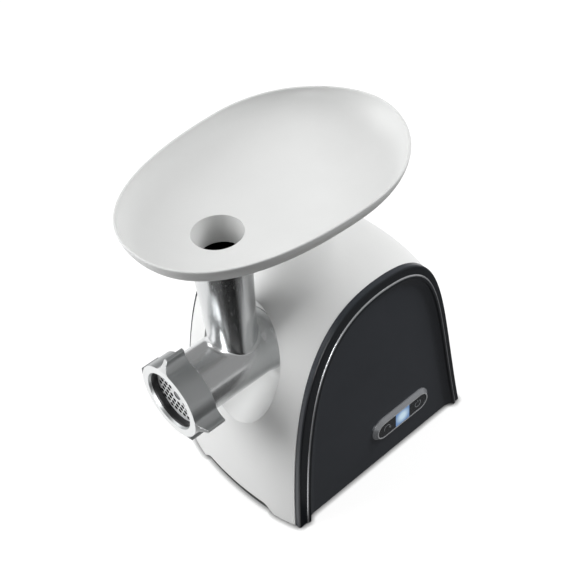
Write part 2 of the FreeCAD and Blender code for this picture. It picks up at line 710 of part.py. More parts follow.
def knife():
    """Four-armed knife on the square nose of the auger."""
    arms = [along_y(9.5, KNIFE_FRONT, KNIFE_BACK)]
    for turn in range(4):
        corners = [V(0, KNIFE_FRONT, -3.2), V(PLATE_RADIUS - 2.5, KNIFE_FRONT, -3.2),
                   V(PLATE_RADIUS - 2.5, KNIFE_FRONT, 1.2), V(0, KNIFE_FRONT, 4.2)]
        arm = Part.Face(Part.makePolygon(corners + corners[:1])).extrude(V(0, KNIFE_THICK - 2.5, 0))
        arm.rotate(V(0, 0, 0), V(0, 1, 0), 90 * turn + 45)
        arm.translate(V(0, 0, AXIS_Z))
        arms.append(arm)
    hole = square_y(NOSE_FLATS + 0.2, KNIFE_FRONT - 1, KNIFE_BACK + 1)
    return fused(arms).cut(hole)


def auger():
    """Screw with a square nose for the knife and a square tail for the drive."""
    front = KNIFE_BACK
    back = BORE_REAR - 1.5
    core = turned([(0, front), (AUGER_CORE, front), (AUGER_CORE + 3.5, back), (0, back)])
    length = back - front - FLIGHT_WIDTH - 3
    spine = Part.makeLongHelix(AUGER_PITCH, length, AUGER_RADIUS)
    inner = AUGER_CORE - 3
    half = FLIGHT_WIDTH / 2
    corners = [V(inner, 0, -half * 1.5), V(AUGER_RADIUS, 0, -half), V(AUGER_RADIUS, 0, half),
               V(inner, 0, half * 1.5)]
    outline = Part.makePolygon(corners + corners[:1])
    flight = Part.Wire(spine).makePipeShell([outline], True, True)
    flight.rotate(V(0, 0, 0), V(1, 0, 0), -90)
    flight.translate(V(0, front + half + 1.5, AXIS_Z))
    nose = square_y(NOSE_FLATS, KNIFE_FRONT + 0.5, front + 1)
    pin = along_y(NOSE_PIN, PLATE_FRONT + 0.5, KNIFE_FRONT + 1)
    journal = along_y(JOURNAL_RADIUS - RUN_GAP, back - 1, WALL_END + 1)
    tail = square_y(TAIL_FLATS - 0.2, WALL_END, GEARBOX_FRONT + COUPLING_LENGTH - 3)
    tail = tail.common(along_y(JOURNAL_RADIUS - RUN_GAP, WALL_END - 1, GEARBOX_FRONT + COUPLING_LENGTH))
    return fused([core, flight, nose, pin, journal, tail])


def auger_washer():
    """Slippery washer between the auger and the rear wall of the head."""
    return ring_y(JOURNAL_RADIUS + 8, JOURNAL_RADIUS + 0.2, BORE_REAR - 1.4, BORE_REAR - 0.1)


def auger_bush():
    """Bush in the rear wall of the head."""
    return ring_y(JOURNAL_RADIUS + BUSH_WALL, JOURNAL_RADIUS, BORE_REAR, WALL_END)


def ring_edges(body, reach, slack):
    """Straight edges along the ring that stand at the given distance from its axis."""
    found = []
    for edge in body.Edges:
        box = edge.BoundBox
        away = math.hypot(box.Center.x, box.Center.z - AXIS_Z)
        if box.YLength > RING_LENGTH - 1 and box.XLength + box.ZLength < 0.1 and abs(away - reach) < slack:
            found.append(edge)
    return found


def near_lobe(edge):
    """True for an edge beside one of the ring's lobes."""
    centre = edge.BoundBox.Center
    angle = math.degrees(math.atan2(centre.z - AXIS_Z, centre.x))
    offsets = [(angle - lobe + 180) % 360 - 180 for lobe in RING_LOBES]
    return min(abs(offset) for offset in offsets) < math.degrees(RING_TIP_WIDTH / RING_BASE)


def ring_nut():
    """Lobed nut that holds the plate: flat front, lobes that slope back, threaded inside."""
    half = RING_TIP_WIDTH / 2
    bars = []
    for lobe in RING_LOBES:
        bar = block(THREAD_RADIUS, RING_TIP, RING_FRONT, RING_REAR, -half, half)
        bar.rotate(V(0, 0, 0), V(0, 1, 0), -lobe)
        bar.translate(V(0, 0, AXIS_Z))
        bars.append(bar)
    body = fused([along_y(RING_BASE, RING_FRONT, RING_REAR)] + bars)
    roots = [edge for edge in ring_edges(body, RING_BASE, 0.1) if near_lobe(edge)]
    body = body.makeFillet(RING_LOBE_RISE - 1, roots)
    tips = ring_edges(body, math.hypot(RING_TIP, half), 0.1)
    body = body.makeFillet(0.35 * RING_TIP_WIDTH, tips)
    slope = RING_SLOPE / RING_LOBE_RISE
    envelope = turned([
        (0, RING_FRONT),
        (RING_BASE, RING_FRONT),
        (RING_TIP + 1, RING_FRONT + slope * (RING_LOBE_RISE + 1)),
        (RING_TIP + 1, RING_REAR),
        (0, RING_REAR),
    ])
    inside = [
        (0, RING_FRONT - 1),
        (RING_MOUTH, RING_FRONT - 1),
        (RING_MOUTH, RING_FRONT),
        (RING_THROAT, RING_FRONT + LIP_THICK * 0.45),
        (RING_THROAT, RING_FRONT + LIP_THICK),
        (THREAD_FIT, RING_FRONT + LIP_THICK),
    ]
    y = RING_FRONT + LIP_THICK + 3
    while y + THREAD_PITCH < RING_REAR - 2:
        inside += [(THREAD_FIT, y), (THREAD_FIT + THREAD_DEPTH, y + THREAD_PITCH / 2)]
        y += THREAD_PITCH
    inside += [(THREAD_FIT, y), (THREAD_FIT, RING_REAR + 1), (0, RING_REAR + 1)]
    return body.common(envelope).cut(turned(inside))


def tray_wire(turn, grow):
    """Egg-shaped outline of the bowl. turn is 0 at the rim and 90 degrees at the floor."""
    across = 1 - math.cos(math.radians(turn))
    up = 1 - math.sin(math.radians(turn))
    out = grow * math.cos(math.radians(turn))
    down = grow * math.sin(math.radians(turn))
    half = TRAY_HALF + (FLOOR_HALF - TRAY_HALF) * across + out
    widest = TRAY_WIDEST + (FLOOR_WIDEST - TRAY_WIDEST) * across
    front = TRAY_FRONT + (FLOOR_FRONT - TRAY_FRONT) * across + widest + out
    rear = TRAY_REAR + (FLOOR_REAR - TRAY_REAR) * across - widest + out
    rise = TRAY_RISE * up
    height = TRAY_FLOOR + (TRAY_RIM_Z - TRAY_FLOOR) * up - down
    corners = [(V(1, 0, 0), SIDE_FULLNESS), (V(0, -1, 0), FRONT_FULLNESS),
               (V(-1, 0, 0), SIDE_FULLNESS), (V(0, 1, 0), REAR_FULLNESS)]
    edges = []
    for (start, leave), (end, arrive) in zip(corners, corners[1:] + corners[:1]):
        poles = []
        for pole in (start, start + end * leave, end + start * arrive, end):
            y = widest + pole.y * (front if pole.y < 0 else rear)
            poles.append(V(pole.x * half, y, height + rise * y))
        curve = Part.BezierCurve()
        curve.setPoles(poles)
        edges.append(curve.toShape())
    return Part.Wire(edges)


def feed_tray():
    """Oval bowl with a throat that plugs into the feed tube."""
    steps = (0, 15, 30, 45, 60, 75, 90)
    outer = Part.makeLoft([tray_wire(turn, TRAY_WALL) for turn in steps], True, False)
    inner = Part.makeLoft([tray_wire(turn, 0) for turn in steps], True, False)
    low = TRAY_FLOOR - THROAT_LENGTH
    spigot = standing([
        (0, TRAY_FLOOR - 0.5),
        (throat_radius(TRAY_FLOOR) + THROAT_WALL, TRAY_FLOOR - 0.5),
        (throat_radius(low) + THROAT_WALL, low),
        (0, low),
    ])
    throat = standing([
        (0, TRAY_FLOOR + 1),
        (THROAT_RADIUS, TRAY_FLOOR + 1),
        (THROAT_RADIUS, TRAY_FLOOR),
        (THROAT_LOW, low),
        (THROAT_LOW, low - 1),
        (0, low - 1),
    ])
    tray = outer.cut(inner).fuse(spigot).cut(throat).removeSplitter()
    rim = [edge for edge in tray.Edges if edge.BoundBox.ZMin > TRAY_RIM_Z - TRAY_RISE * TRAY_FRONT - 2
           and edge.BoundBox.XLength > 0.9 * TRAY_HALF]
    return tray.makeFillet(TRAY_WALL * 0.42, rim)


def gear_places():
    """Axes of the output, the second pin, the first pin and the motor, as (x, z)."""
    spans = [stage["module"] * (stage["pinion"] + stage["wheel"]) / 2 for stage in STAGES]
    turn = math.radians(SECOND_SHAFT_TURN)
    second = (spans[2] * math.sin(turn), AXIS_Z - spans[2] * math.cos(turn))
    drop = math.sqrt(spans[1] ** 2 - (second[0] - FIRST_SHAFT_X) ** 2)
    first = (FIRST_SHAFT_X, second[1] - drop)
    motor = (0.0, first[1] - math.sqrt(spans[0] ** 2 - first[0] ** 2))
    return (0.0, AXIS_Z), second, first, motor


OUTPUT_AT, SECOND_AT, FIRST_AT, MOTOR_AT = gear_places()
STAGE_Y = []
for stage_face in (STAGES[2]["face"], STAGES[1]["face"], STAGES[0]["face"]):
    STAGE_Y.append(OUTPUT_FACE if not STAGE_Y else STAGE_Y[-1][1] + STAGE_GAP)
    STAGE_Y[-1] = (STAGE_Y[-1], STAGE_Y[-1] + stage_face)
STAGE_Y.reverse()
COVER_FRONT = STAGE_Y[0][1] + STAGE_GAP
COVER_BACK = COVER_FRONT + GEARBOX_WALL
FAN_FRONT = COVER_BACK + BEARING_LENGTH + MOTOR_GAP
STATOR_FRONT = FAN_FRONT + FAN_LENGTH + MOTOR_GAP + COIL_OVERHANG
STATOR_BACK = STATOR_FRONT + STATOR_LENGTH
COMMUTATOR_FRONT = STATOR_BACK + COIL_OVERHANG + MOTOR_GAP
BRACKET_FRONT = COMMUTATOR_FRONT + COMMUTATOR_LENGTH + MOTOR_GAP
BRACKET_BACK = BRACKET_FRONT + BRACKET_THICK


def gear_prism(teeth, module, y0, y1, place, phase):
    """Straight-toothed gear along Y. phase is the angle of one tooth, in degrees."""
    pitch = module * teeth / 2
    tip = pitch + ADDENDUM * module
    root = pitch - DEDENDUM * module
    step = 2 * math.pi / teeth
    tip_half = step * TOOTH_SHARE * 0.5 * 0.55
    root_half = step * TOOTH_SHARE * 0.5 * 1.45
    corners = []
    for tooth in range(teeth):
        middle = math.radians(phase) + tooth * step
        for radius, offset in ((root, -root_half), (tip, -tip_half), (tip, tip_half), (root, root_half)):
            angle = middle + offset
            corners.append(V(place[0] + radius * math.cos(angle), y0, place[1] + radius * math.sin(angle)))
    return Part.Face(Part.makePolygon(corners + corners[:1])).extrude(V(0, y1 - y0, 0))


def meshed_phase(phase, teeth, place, other_teeth, other):
    """Phase of a gear at other, so that a gap meets the tooth of the gear at place."""
    line = math.degrees(math.atan2(other[1] - place[1], other[0] - place[0]))
    share = ((line - phase) * teeth / 360.0) % 1.0
    return line + 180.0 + (share + 0.5) * 360.0 / other_teeth


def train_phases():
    """Phases of the six gears, from the motor pinion to the output wheel."""
    phases = [0.0]
    places = (MOTOR_AT, FIRST_AT, SECOND_AT, OUTPUT_AT)
    for index, stage in enumerate(STAGES):
        wheel = meshed_phase(phases[-1], stage["pinion"], places[index], stage["wheel"], places[index + 1])
        phases += [wheel, wheel]
    return phases


PHASES = train_phases()


def compound_gear(index, place):
    """Wheel of one stage and pinion of the next on one hub, turning on a fixed pin."""
    wheel_stage = STAGES[index]
    pinion_stage = STAGES[index + 1]
    wheel_y = STAGE_Y[index]
    pinion_y = STAGE_Y[index + 1]
    phase = PHASES[2 * index + 1]
    wheel = gear_prism(wheel_stage["wheel"], wheel_stage["module"], wheel_y[0], wheel_y[1], place, phase)
    pinion = gear_prism(pinion_stage["pinion"], pinion_stage["module"], pinion_y[0] - STAGE_GAP / 2,
                        wheel_y[0] + 1, place, phase)
    root = pinion_stage["module"] * (pinion_stage["pinion"] / 2 - DEDENDUM)
    hub = along_y(max(root, PIN_RADIUS + 1.2), pinion_y[0] - STAGE_GAP / 2,
                  wheel_y[1] + STAGE_GAP / 2, place[0], place[1])
    bore = along_y(PIN_RADIUS + RUN_GAP, pinion_y[0] - 20, wheel_y[1] + 20, place[0], place[1])
    return fused([wheel, pinion, hub]).cut(bore)


def gear_pin(place, front):
    """Fixed pin between the gearbox wall and its cover."""
    return along_y(PIN_RADIUS, front, COVER_BACK, place[0], place[1])


def output_wheel():
    """Last wheel of the train, keyed to the output shaft."""
    stage = STAGES[2]
    wheel = gear_prism(stage["wheel"], stage["module"], STAGE_Y[2][0], STAGE_Y[2][1], OUTPUT_AT, PHASES[5])
    return wheel.cut(square_y(OUTPUT_RADIUS * 2 + 2, STAGE_Y[2][0] - 1, STAGE_Y[2][1] + 1))


def output_shaft():
    """Shaft with a square socket for the tail of the auger."""
    socket = along_y(COUPLING_RADIUS - RUN_GAP, GEARBOX_FRONT + 0.5, OUTPUT_FACE - 0.3)
    seat = square_y(OUTPUT_RADIUS * 2 + 1.8, OUTPUT_FACE - 1, STAGE_Y[2][1])
    shaft = along_y(OUTPUT_RADIUS - RUN_GAP, STAGE_Y[2][1] - 1, COVER_BACK - 0.5)
    hole = square_y(TAIL_FLATS + 0.2, GEARBOX_FRONT - 1, GEARBOX_FRONT + COUPLING_LENGTH)
    return fused([socket, seat, shaft]).cut(hole)


def link_prism(first, first_radius, second, second_radius, y0, y1):
    """Prism round two circles and their outer tangents."""
    dx = second[0] - first[0]
    dz = second[1] - first[1]
    span = math.hypot(dx, dz)
    line = math.atan2(dz, dx)
    lean = math.acos((first_radius - second_radius) / span)
    corners = []
    for place, radius, turn in ((first, first_radius, lean), (second, second_radius, lean),
                                (second, second_radius, -lean), (first, first_radius, -lean)):
        corners.append(V(place[0] + radius * math.cos(line + turn), y0,
                         place[1] + radius * math.sin(line + turn)))
    web = Part.Face(Part.makePolygon(corners + corners[:1])).extrude(V(0, y1 - y0, 0))
    return fused([web, along_y(first_radius, y0, y1, first[0], first[1]),
                  along_y(second_radius, y0, y1, second[0], second[1])])


def gearbox_form(grow, y0, y1):
    """Outline round the whole gear train, larger by grow."""
    tips = []
    for stage in reversed(STAGES):
        tips.append(stage["module"] * (stage["wheel"] / 2 + ADDENDUM) + GEARBOX_ROOM + grow)
    motor_room = BEARING_RADIUS + GEARBOX_ROOM + grow
    links = [link_prism(OUTPUT_AT, tips[0], SECOND_AT, tips[1], y0, y1),
             link_prism(SECOND_AT, tips[1], FIRST_AT, tips[2], y0, y1),
             link_prism(FIRST_AT, tips[2], MOTOR_AT, motor_room, y0, y1)]
    return fused(links)


def gearbox_screw_places():
    """Places of the four screws that close the gearbox."""
    top = STAGES[2]["module"] * (STAGES[2]["wheel"] / 2 + ADDENDUM) + GEARBOX_ROOM + 2 * GEARBOX_WALL
    places = []
    for turn in (40.0, 140.0, 205.0):
        angle = math.radians(turn)
        places.append((OUTPUT_AT[0] + top * math.cos(angle), OUTPUT_AT[1] + top * math.sin(angle)))
    low = STAGES[0]["module"] * (STAGES[0]["wheel"] / 2 + ADDENDUM) + GEARBOX_ROOM + 2 * GEARBOX_WALL
    places.append((FIRST_AT[0] - low, FIRST_AT[1]))
    return places


def gearbox_housing():
    """Cast gear case with the bayonet socket for the head."""
    case = gearbox_form(GEARBOX_WALL, GEARBOX_FRONT, COVER_FRONT)
    ears = [along_y(5.0, GEARBOX_FRONT, COVER_FRONT, x, z) for x, z in gearbox_screw_places()]
    socket = along_y(SPIGOT_RADIUS + LUG_HEIGHT + SOCKET_WALL, SOCKET_FRONT, CAVITY_FRONT)
    case = fused([case, socket] + ears)
    case = case.cut(gearbox_form(0, CAVITY_FRONT, COVER_FRONT + 1))
    boss = along_y(COUPLING_RADIUS + 8, CAVITY_FRONT - 1, CAVITY_FRONT + BUSH_LENGTH - 1)
    pin_boss = []
    for index, place in ((2, SECOND_AT), (1, FIRST_AT)):
        end = STAGE_Y[index][0] - STAGE_GAP
        pin_boss.append(along_y(PIN_RADIUS + 4, CAVITY_FRONT - 1, end, place[0], place[1]))
    case = fused([case, boss] + pin_boss)
    groove_y = SPIGOT_END - LUG_LENGTH - 3 - SLIDE_GAP
    hollow = [
        along_y(SPIGOT_RADIUS + SLIDE_GAP, SOCKET_FRONT - 1, GEARBOX_FRONT),
        along_y(SPIGOT_RADIUS + LUG_HEIGHT + SLIDE_GAP, groove_y, groove_y + LUG_LENGTH + 2 * SLIDE_GAP),
        along_y(COUPLING_RADIUS + 4, GEARBOX_FRONT - 1, CAVITY_FRONT + BUSH_LENGTH),
        along_y(PIN_RADIUS, STAGE_Y[2][0] - STAGE_GAP - 8, STAGE_Y[2][0], SECOND_AT[0], SECOND_AT[1]),
        along_y(PIN_RADIUS, STAGE_Y[1][0] - STAGE_GAP - 8, STAGE_Y[1][0], FIRST_AT[0], FIRST_AT[1]),
    ]
    for slot in lugs(SLIDE_GAP):
        slot.rotate(V(0, 0, AXIS_Z), V(0, 1, 0), TWIST_ANGLE)
        run = slot.copy()
        run.translate(V(0, -LUG_LENGTH, 0))
        far = slot.copy()
        far.translate(V(0, -2 * LUG_LENGTH, 0))
        hollow += [run, far]
    for x, z in gearbox_screw_places():
        hollow.append(along_y(SCREW_SHANK, COVER_FRONT - 14, COVER_FRONT + 1, x, z))
    return case.cut(hollow)


def gearbox_cover():
    """Plate that closes the gear case and carries the front of the motor."""
    plate = gearbox_form(GEARBOX_WALL, COVER_FRONT, COVER_BACK)
    ears = [along_y(5.0, COVER_FRONT, COVER_BACK, x, z) for x, z in gearbox_screw_places()]
    boss = along_y(BEARING_RADIUS + 3, COVER_FRONT, COVER_BACK + BEARING_LENGTH, MOTOR_AT[0], MOTOR_AT[1])
    arm = block(-STATOR_WIDTH / 2 + 4, STATOR_WIDTH / 2 - 4, COVER_FRONT, COVER_BACK,
                MOTOR_AT[1] - 7, MOTOR_AT[1] + 7)
    posts = [along_y(6.0, COVER_FRONT, STATOR_FRONT, x, MOTOR_AT[1]) for x in bolt_places()]
    plate = fused([plate, boss, arm] + ears + posts)
    holes = [
        along_y(BEARING_RADIUS, COVER_BACK, COVER_BACK + BEARING_LENGTH + 1, MOTOR_AT[0], MOTOR_AT[1]),
        along_y(BEARING_RADIUS - 3, COVER_FRONT - 1, COVER_BACK + 1, MOTOR_AT[0], MOTOR_AT[1]),
        along_y(OUTPUT_RADIUS + 3, COVER_FRONT - 1, COVER_BACK + 1),
        along_y(PIN_RADIUS, COVER_FRONT - 1, COVER_BACK + 1, SECOND_AT[0], SECOND_AT[1]),
        along_y(PIN_RADIUS, COVER_FRONT - 1, COVER_BACK + 1, FIRST_AT[0], FIRST_AT[1]),
    ]
    for x, z in gearbox_screw_places():
        holes.append(along_y(SCREW_SHANK + 0.2, COVER_FRONT - 1, COVER_BACK + 1, x, z))
    for x in bolt_places():
        holes.append(along_y(BOLT_RADIUS, STATOR_FRONT - 10, STATOR_FRONT + 1, x, MOTOR_AT[1]))
    return plate.cut(holes)


def gearbox_screws():
    """Four screws through the cover into the case."""
    screws = []
    for x, z in gearbox_screw_places():
        head = along_y(SCREW_HEAD, COVER_BACK, COVER_BACK + 2.4, x, z)
        shank = along_y(SCREW_SHANK, COVER_FRONT - 12, COVER_BACK + 1, x, z)
        screws.append(head.fuse(shank).removeSplitter())
    return Part.makeCompound(screws)


def output_bushes():
    """Front and rear bush of the output shaft."""
    front = ring_y(COUPLING_RADIUS + 4, COUPLING_RADIUS, GEARBOX_FRONT + SEAL_THICK,
                   CAVITY_FRONT + BUSH_LENGTH - 1)
    rear = ring_y(OUTPUT_RADIUS + 3, OUTPUT_RADIUS, COVER_FRONT, COVER_BACK)
    return Part.makeCompound([front, rear])


def shaft_seal():
    """Lip seal in front of the output bush."""
    inner = COUPLING_RADIUS + SLIDE_GAP
    return ring_y(COUPLING_RADIUS + 4, inner, GEARBOX_FRONT, GEARBOX_FRONT + SEAL_THICK)


def bolt_places():
    """Both through bolts of the motor, along X."""
    return (-STATOR_WIDTH / 2 + 7, STATOR_WIDTH / 2 - 7)


def stator_core():
    """Laminated field core with two pole shoes."""
    half = STATOR_WIDTH / 2
    tall = STATOR_HEIGHT / 2
    z = MOTOR_AT[1]
    core = block(-half, half, STATOR_FRONT, STATOR_BACK, z - tall, z + tall)
    corners = [edge for edge in core.Edges if edge.BoundBox.YLength > STATOR_LENGTH - 1]
    core = core.makeFillet(8, corners)
    bore = along_y(ROTOR_RADIUS + AIR_GAP, STATOR_FRONT - 1, STATOR_BACK + 1, 0, z)
    slots = [block(side * 29 - 6, side * 29 + 6, STATOR_FRONT - 1, STATOR_BACK + 1, z - 17, z + 17)
             for side in (-1, 1)]
    slots.append(block(-29, 29, STATOR_FRONT - 1, STATOR_BACK + 1, z - 5, z + 5))
    bolts = [along_y(BOLT_RADIUS, STATOR_FRONT - 1, STATOR_BACK + 1, x, z) for x in bolt_places()]
    return core.cut([bore] + slots + bolts)


def field_coils():
    """Two wound coils in the slots of the field core."""
    z = MOTOR_AT[1]
    coils = []
    for up in (-1, 1):
        legs = []
        for side in (-1, 1):
            z0, z1 = sorted((z + up * 5.5, z + up * 16.5))
            legs.append(block(side * 29 - 5.4, side * 29 + 5.4, STATOR_FRONT - COIL_OVERHANG,
                              STATOR_BACK + COIL_OVERHANG, z0, z1))
        for y0, y1 in ((STATOR_FRONT - COIL_OVERHANG, STATOR_FRONT - 0.3),
                       (STATOR_BACK + 0.3, STATOR_BACK + COIL_OVERHANG)):
            arch = ring_y(34.4, ROTOR_RADIUS + 3, y0, y1, 0, z)
            z0, z1 = sorted((z + up * 5.5, z + up * 60))
            legs.append(arch.common(block(-60, 60, y0, y1, z0, z1)))
        coils.append(fused(legs))
    return Part.makeCompound(coils)


def motor_bracket():
    """Rear bracket of the motor, with the bearing seat and the brush arms."""
    z = MOTOR_AT[1]
    seat = along_y(BEARING_RADIUS + 3, BRACKET_FRONT, BRACKET_BACK + BEARING_LENGTH - 2, 0, z)
    half = STATOR_WIDTH / 2 - 1
    bar = block(-half, half, BRACKET_FRONT, BRACKET_BACK, z - 8, z + 8)
    posts = [along_y(6.0, STATOR_BACK, BRACKET_BACK, x, z) for x in bolt_places()]
    bracket = fused([seat, bar] + posts)
    holes = [along_y(BEARING_RADIUS, BRACKET_FRONT - 1, BRACKET_FRONT + BEARING_LENGTH, 0, z),
             along_y(SHAFT_RADIUS + 2, BRACKET_FRONT - 1, BRACKET_BACK + BEARING_LENGTH, 0, z)]
    holes += [along_y(BOLT_RADIUS, STATOR_BACK - 1, BRACKET_BACK + 1, x, z) for x in bolt_places()]
    return bracket.cut(holes)


def motor_bolts():
    """Two long bolts that clamp the field core between cover and bracket."""
    z = MOTOR_AT[1]
    bolts = []
    for x in bolt_places():
        head = along_y(SCREW_HEAD, BRACKET_BACK, BRACKET_BACK + 2.5, x, z)
        shank = along_y(BOLT_RADIUS, STATOR_FRONT - 9, BRACKET_BACK + 1, x, z)
        bolts.append(head.fuse(shank).removeSplitter())
    return Part.makeCompound(bolts)


def motor_bearings():
    """Front and rear bearing of the motor shaft."""
    z = MOTOR_AT[1]
    inner = SHAFT_RADIUS + RUN_GAP
    front = ring_y(BEARING_RADIUS, inner, COVER_BACK, COVER_BACK + BEARING_LENGTH, 0, z)
    rear = ring_y(BEARING_RADIUS, inner, BRACKET_FRONT, BRACKET_FRONT + BEARING_LENGTH, 0, z)
    return Part.makeCompound([front, rear])


def brushes():
    """Carbon brushes on both sides of the commutator."""
    z = MOTOR_AT[1]
    middle = COMMUTATOR_FRONT + COMMUTATOR_LENGTH / 2
    half = BRUSH_SIDE / 2
    start = COMMUTATOR_RADIUS + 0.3
    pieces = []
    for side in (-1, 1):
        x0, x1 = sorted((side * start, side * (start + BRUSH_LENGTH)))
        pieces.append(block(x0, x1, middle - half, middle + half, z - half, z + half))
    return Part.makeCompound(pieces)


def brush_holders():
    """Sleeves that guide the brushes, standing on the rear bracket."""
    z = MOTOR_AT[1]
    middle = COMMUTATOR_FRONT + COMMUTATOR_LENGTH / 2
    half = BRUSH_SIDE / 2 + 0.2
    start = COMMUTATOR_RADIUS + 4
    end = start + BRUSH_LENGTH
    pieces = []
    for side in (-1, 1):
        x0, x1 = sorted((side * start, side * end))
        sleeve = block(x0, x1, middle - half - 1.5, BRACKET_FRONT, z - half - 1.5, z + half + 1.5)
        pieces.append(sleeve.cut(block(x0 - 1, x1 + 1, middle - half, middle + half, z - half, z + half)))
    return Part.makeCompound(pieces)


def motor_cradle():
    """Moulded rest that carries the field core on the base plate."""
    z0 = MOTOR_AT[1] - STATOR_HEIGHT / 2
    y0 = STATOR_FRONT + 3
    y1 = STATOR_BACK - 3
    legs = [block(side * 26 - 6, side * 26 + 6, y0, y1, BASE_TOP, z0) for side in (-1, 1)]
    legs.append(block(-32, 32, y0, y1, z0 - 4, z0))
    return fused(legs)


def motor_shaft():
    """Motor shaft with the pinion cut on its front end."""
    stage = STAGES[0]
    front = STAGE_Y[0][0] - 1
    pinion = gear_prism(stage["pinion"], stage["module"], front, STAGE_Y[0][1] + 1, MOTOR_AT, PHASES[0])
    back = BRACKET_FRONT + BEARING_LENGTH - 1
    shaft = along_y(SHAFT_RADIUS, STAGE_Y[0][1], back, MOTOR_AT[0], MOTOR_AT[1])
    return fused([shaft, pinion])


def slot_bars(radius):
    """Round bars along all the slots of the armature."""
    reach = ROTOR_RADIUS - 5.5
    bars = []
    for index in range(ROTOR_SLOTS):
        angle = 2 * math.pi * index / ROTOR_SLOTS
        x = reach * math.cos(angle)
        z = MOTOR_AT[1] + reach * math.sin(angle)
        bars.append(along_y(radius, STATOR_FRONT - 1, STATOR_BACK + 1, x, z))
    return bars


def armature_core():
    """Slotted armature stack."""
    z = MOTOR_AT[1]
    core = ring_y(ROTOR_RADIUS, SHAFT_RADIUS, STATOR_FRONT, STATOR_BACK, 0, z)
    return core.cut(slot_bars(SLOT_RADIUS))


def armature_winding():
    """Copper winding: bars in the slots and end turns at both ends."""
    z = MOTOR_AT[1]
    ends = [ring_y(ROTOR_RADIUS - 2.0, SHAFT_RADIUS + 2, y0, y0 + COIL_OVERHANG - 2, 0, z)
            for y0 in (STATOR_FRONT - COIL_OVERHANG + 2, STATOR_BACK)]
    return fused(ends + slot_bars(SLOT_RADIUS - 0.1))


def commutator():
    """Commutator with its segment gaps."""
    z = MOTOR_AT[1]
    back = COMMUTATOR_FRONT + COMMUTATOR_LENGTH
    drum = ring_y(COMMUTATOR_RADIUS, SHAFT_RADIUS, COMMUTATOR_FRONT, back, 0, z)
    cuts = []
    for index in range(24):
        gap = block(COMMUTATOR_RADIUS - 1.2, COMMUTATOR_RADIUS + 1, COMMUTATOR_FRONT - 1, back + 1,
                    -0.25, 0.25)
        gap.rotate(V(0, 0, 0), V(0, 1, 0), 15.0 * index)
        gap.translate(V(0, 0, z))
        cuts.append(gap)
    return drum.cut(cuts)


def cooling_fan():
    """Fan between the gear case and the field core."""
    z = MOTOR_AT[1]
    hub = ring_y(8.0, SHAFT_RADIUS, FAN_FRONT, FAN_FRONT + FAN_LENGTH, 0, z)
    disc = ring_y(FAN_RADIUS, SHAFT_RADIUS, FAN_FRONT, FAN_FRONT + 1.4, 0, z)
    blades = []
    for index in range(FAN_BLADES):
        blade = block(7.0, FAN_RADIUS, FAN_FRONT, FAN_FRONT + FAN_LENGTH, -0.7, 0.7)
        blade.rotate(V(0, 0, 0), V(0, 1, 0), 360.0 * index / FAN_BLADES)
        blade.translate(V(0, 0, z))
        blades.append(blade)
    return fused([hub, disc] + blades)


def cord_gland():
    """Rubber gland in the left panel: flange, waist, collar and a blind eye for the lead."""
    seat = LEFT_FACE - GLAND_SEAT
    front = seat - GLAND_STAND
    collar = -SHELL_HALF + GLAND_SEAT
    waist = GLAND_RADIUS - GLAND_SEAT
    profile = [
        (0, collar + GLAND_COLLAR),
        (GLAND_FLANGE - 1, collar + GLAND_COLLAR),
        (GLAND_FLANGE - 1, collar),
        (waist, collar),
        (waist, seat),
        (GLAND_FLANGE, seat),
        (GLAND_FLANGE, seat - GLAND_STAND / 2),
        (GLAND_FLANGE - GLAND_STAND / 2, front),
        (EYE_RADIUS + 0.6, front),
        (EYE_RADIUS, front + 0.6),
        (EYE_RADIUS, front + EYE_DEPTH),
        (0, front + EYE_DEPTH),
    ]
    corners = [V(x, GLAND_Y + radius, GLAND_Z) for radius, x in profile]
    face = Part.Face(Part.makePolygon(corners + corners[:1]))
    return face.revolve(V(0, GLAND_Y, GLAND_Z), V(1, 0, 0), 360)


NODES = {
    "main_shell": main_shell,
    "right_panel": right_panel,
    "left_panel": left_panel,
    "base_plate": base_plate,
    "rubber_feet": rubber_feet,
    "base_screws": base_screws,
    "cord_gland": cord_gland,
    "control_bezel": control_bezel,
    "reverse_key": lambda: key(-1),
    "power_key": lambda: key(1),
    "display_window": display_window,
    "control_board": control_board,
    "key_switches": key_switches,
    "window_lamp": window_lamp,
    "grinder_housing": lambda: fused([grinder_housing()] + alignment_marks()),
    "grinding_plate": grinding_plate,
    "knife": knife,
    "auger": auger,
    "auger_washer": auger_washer,
    "auger_bush": auger_bush,
    "ring_nut": ring_nut,
    "feed_tray": feed_tray,
    "first_gear": lambda: compound_gear(0, FIRST_AT),
    "second_gear": lambda: compound_gear(1, SECOND_AT),
    "first_gear_pin": lambda: gear_pin(FIRST_AT, STAGE_Y[1][0] - STAGE_GAP - 8),
    "second_gear_pin": lambda: gear_pin(SECOND_AT, STAGE_Y[2][0] - STAGE_GAP - 8),
    "output_wheel": output_wheel,
    "output_shaft": output_shaft,
    "output_bushes": output_bushes,
    "shaft_seal": shaft_seal,
    "gearbox_housing": gearbox_housing,
    "gearbox_cover": gearbox_cover,
    "gearbox_screws": gearbox_screws,
    "stator_core": stator_core,
    "field_coils": field_coils,
    "motor_bracket": motor_bracket,
    "motor_bolts": motor_bolts,
    "motor_bearings": motor_bearings,
    "carbon_brushes": brushes,
    "brush_holders": brush_holders,
    "motor_cradle": motor_cradle,
    "motor_shaft": motor_shaft,
    "armature_core": armature_core,
    "armature_winding": armature_winding,
    "commutator": commutator,
    "cooling_fan": cooling_fan,
}


def footprint_middle(shapes):
    """Middle of the box round the object, along X and Y."""
    boxes = [shape.optimalBoundingBox(True, False) for shape in shapes]
    x = (min(box.XMin for box in boxes) + max(box.XMax for box in boxes)) / 2
    y = (min(box.YMin for box in boxes) + max(box.YMax for box in boxes)) / 2
    return V(x, y, 0)


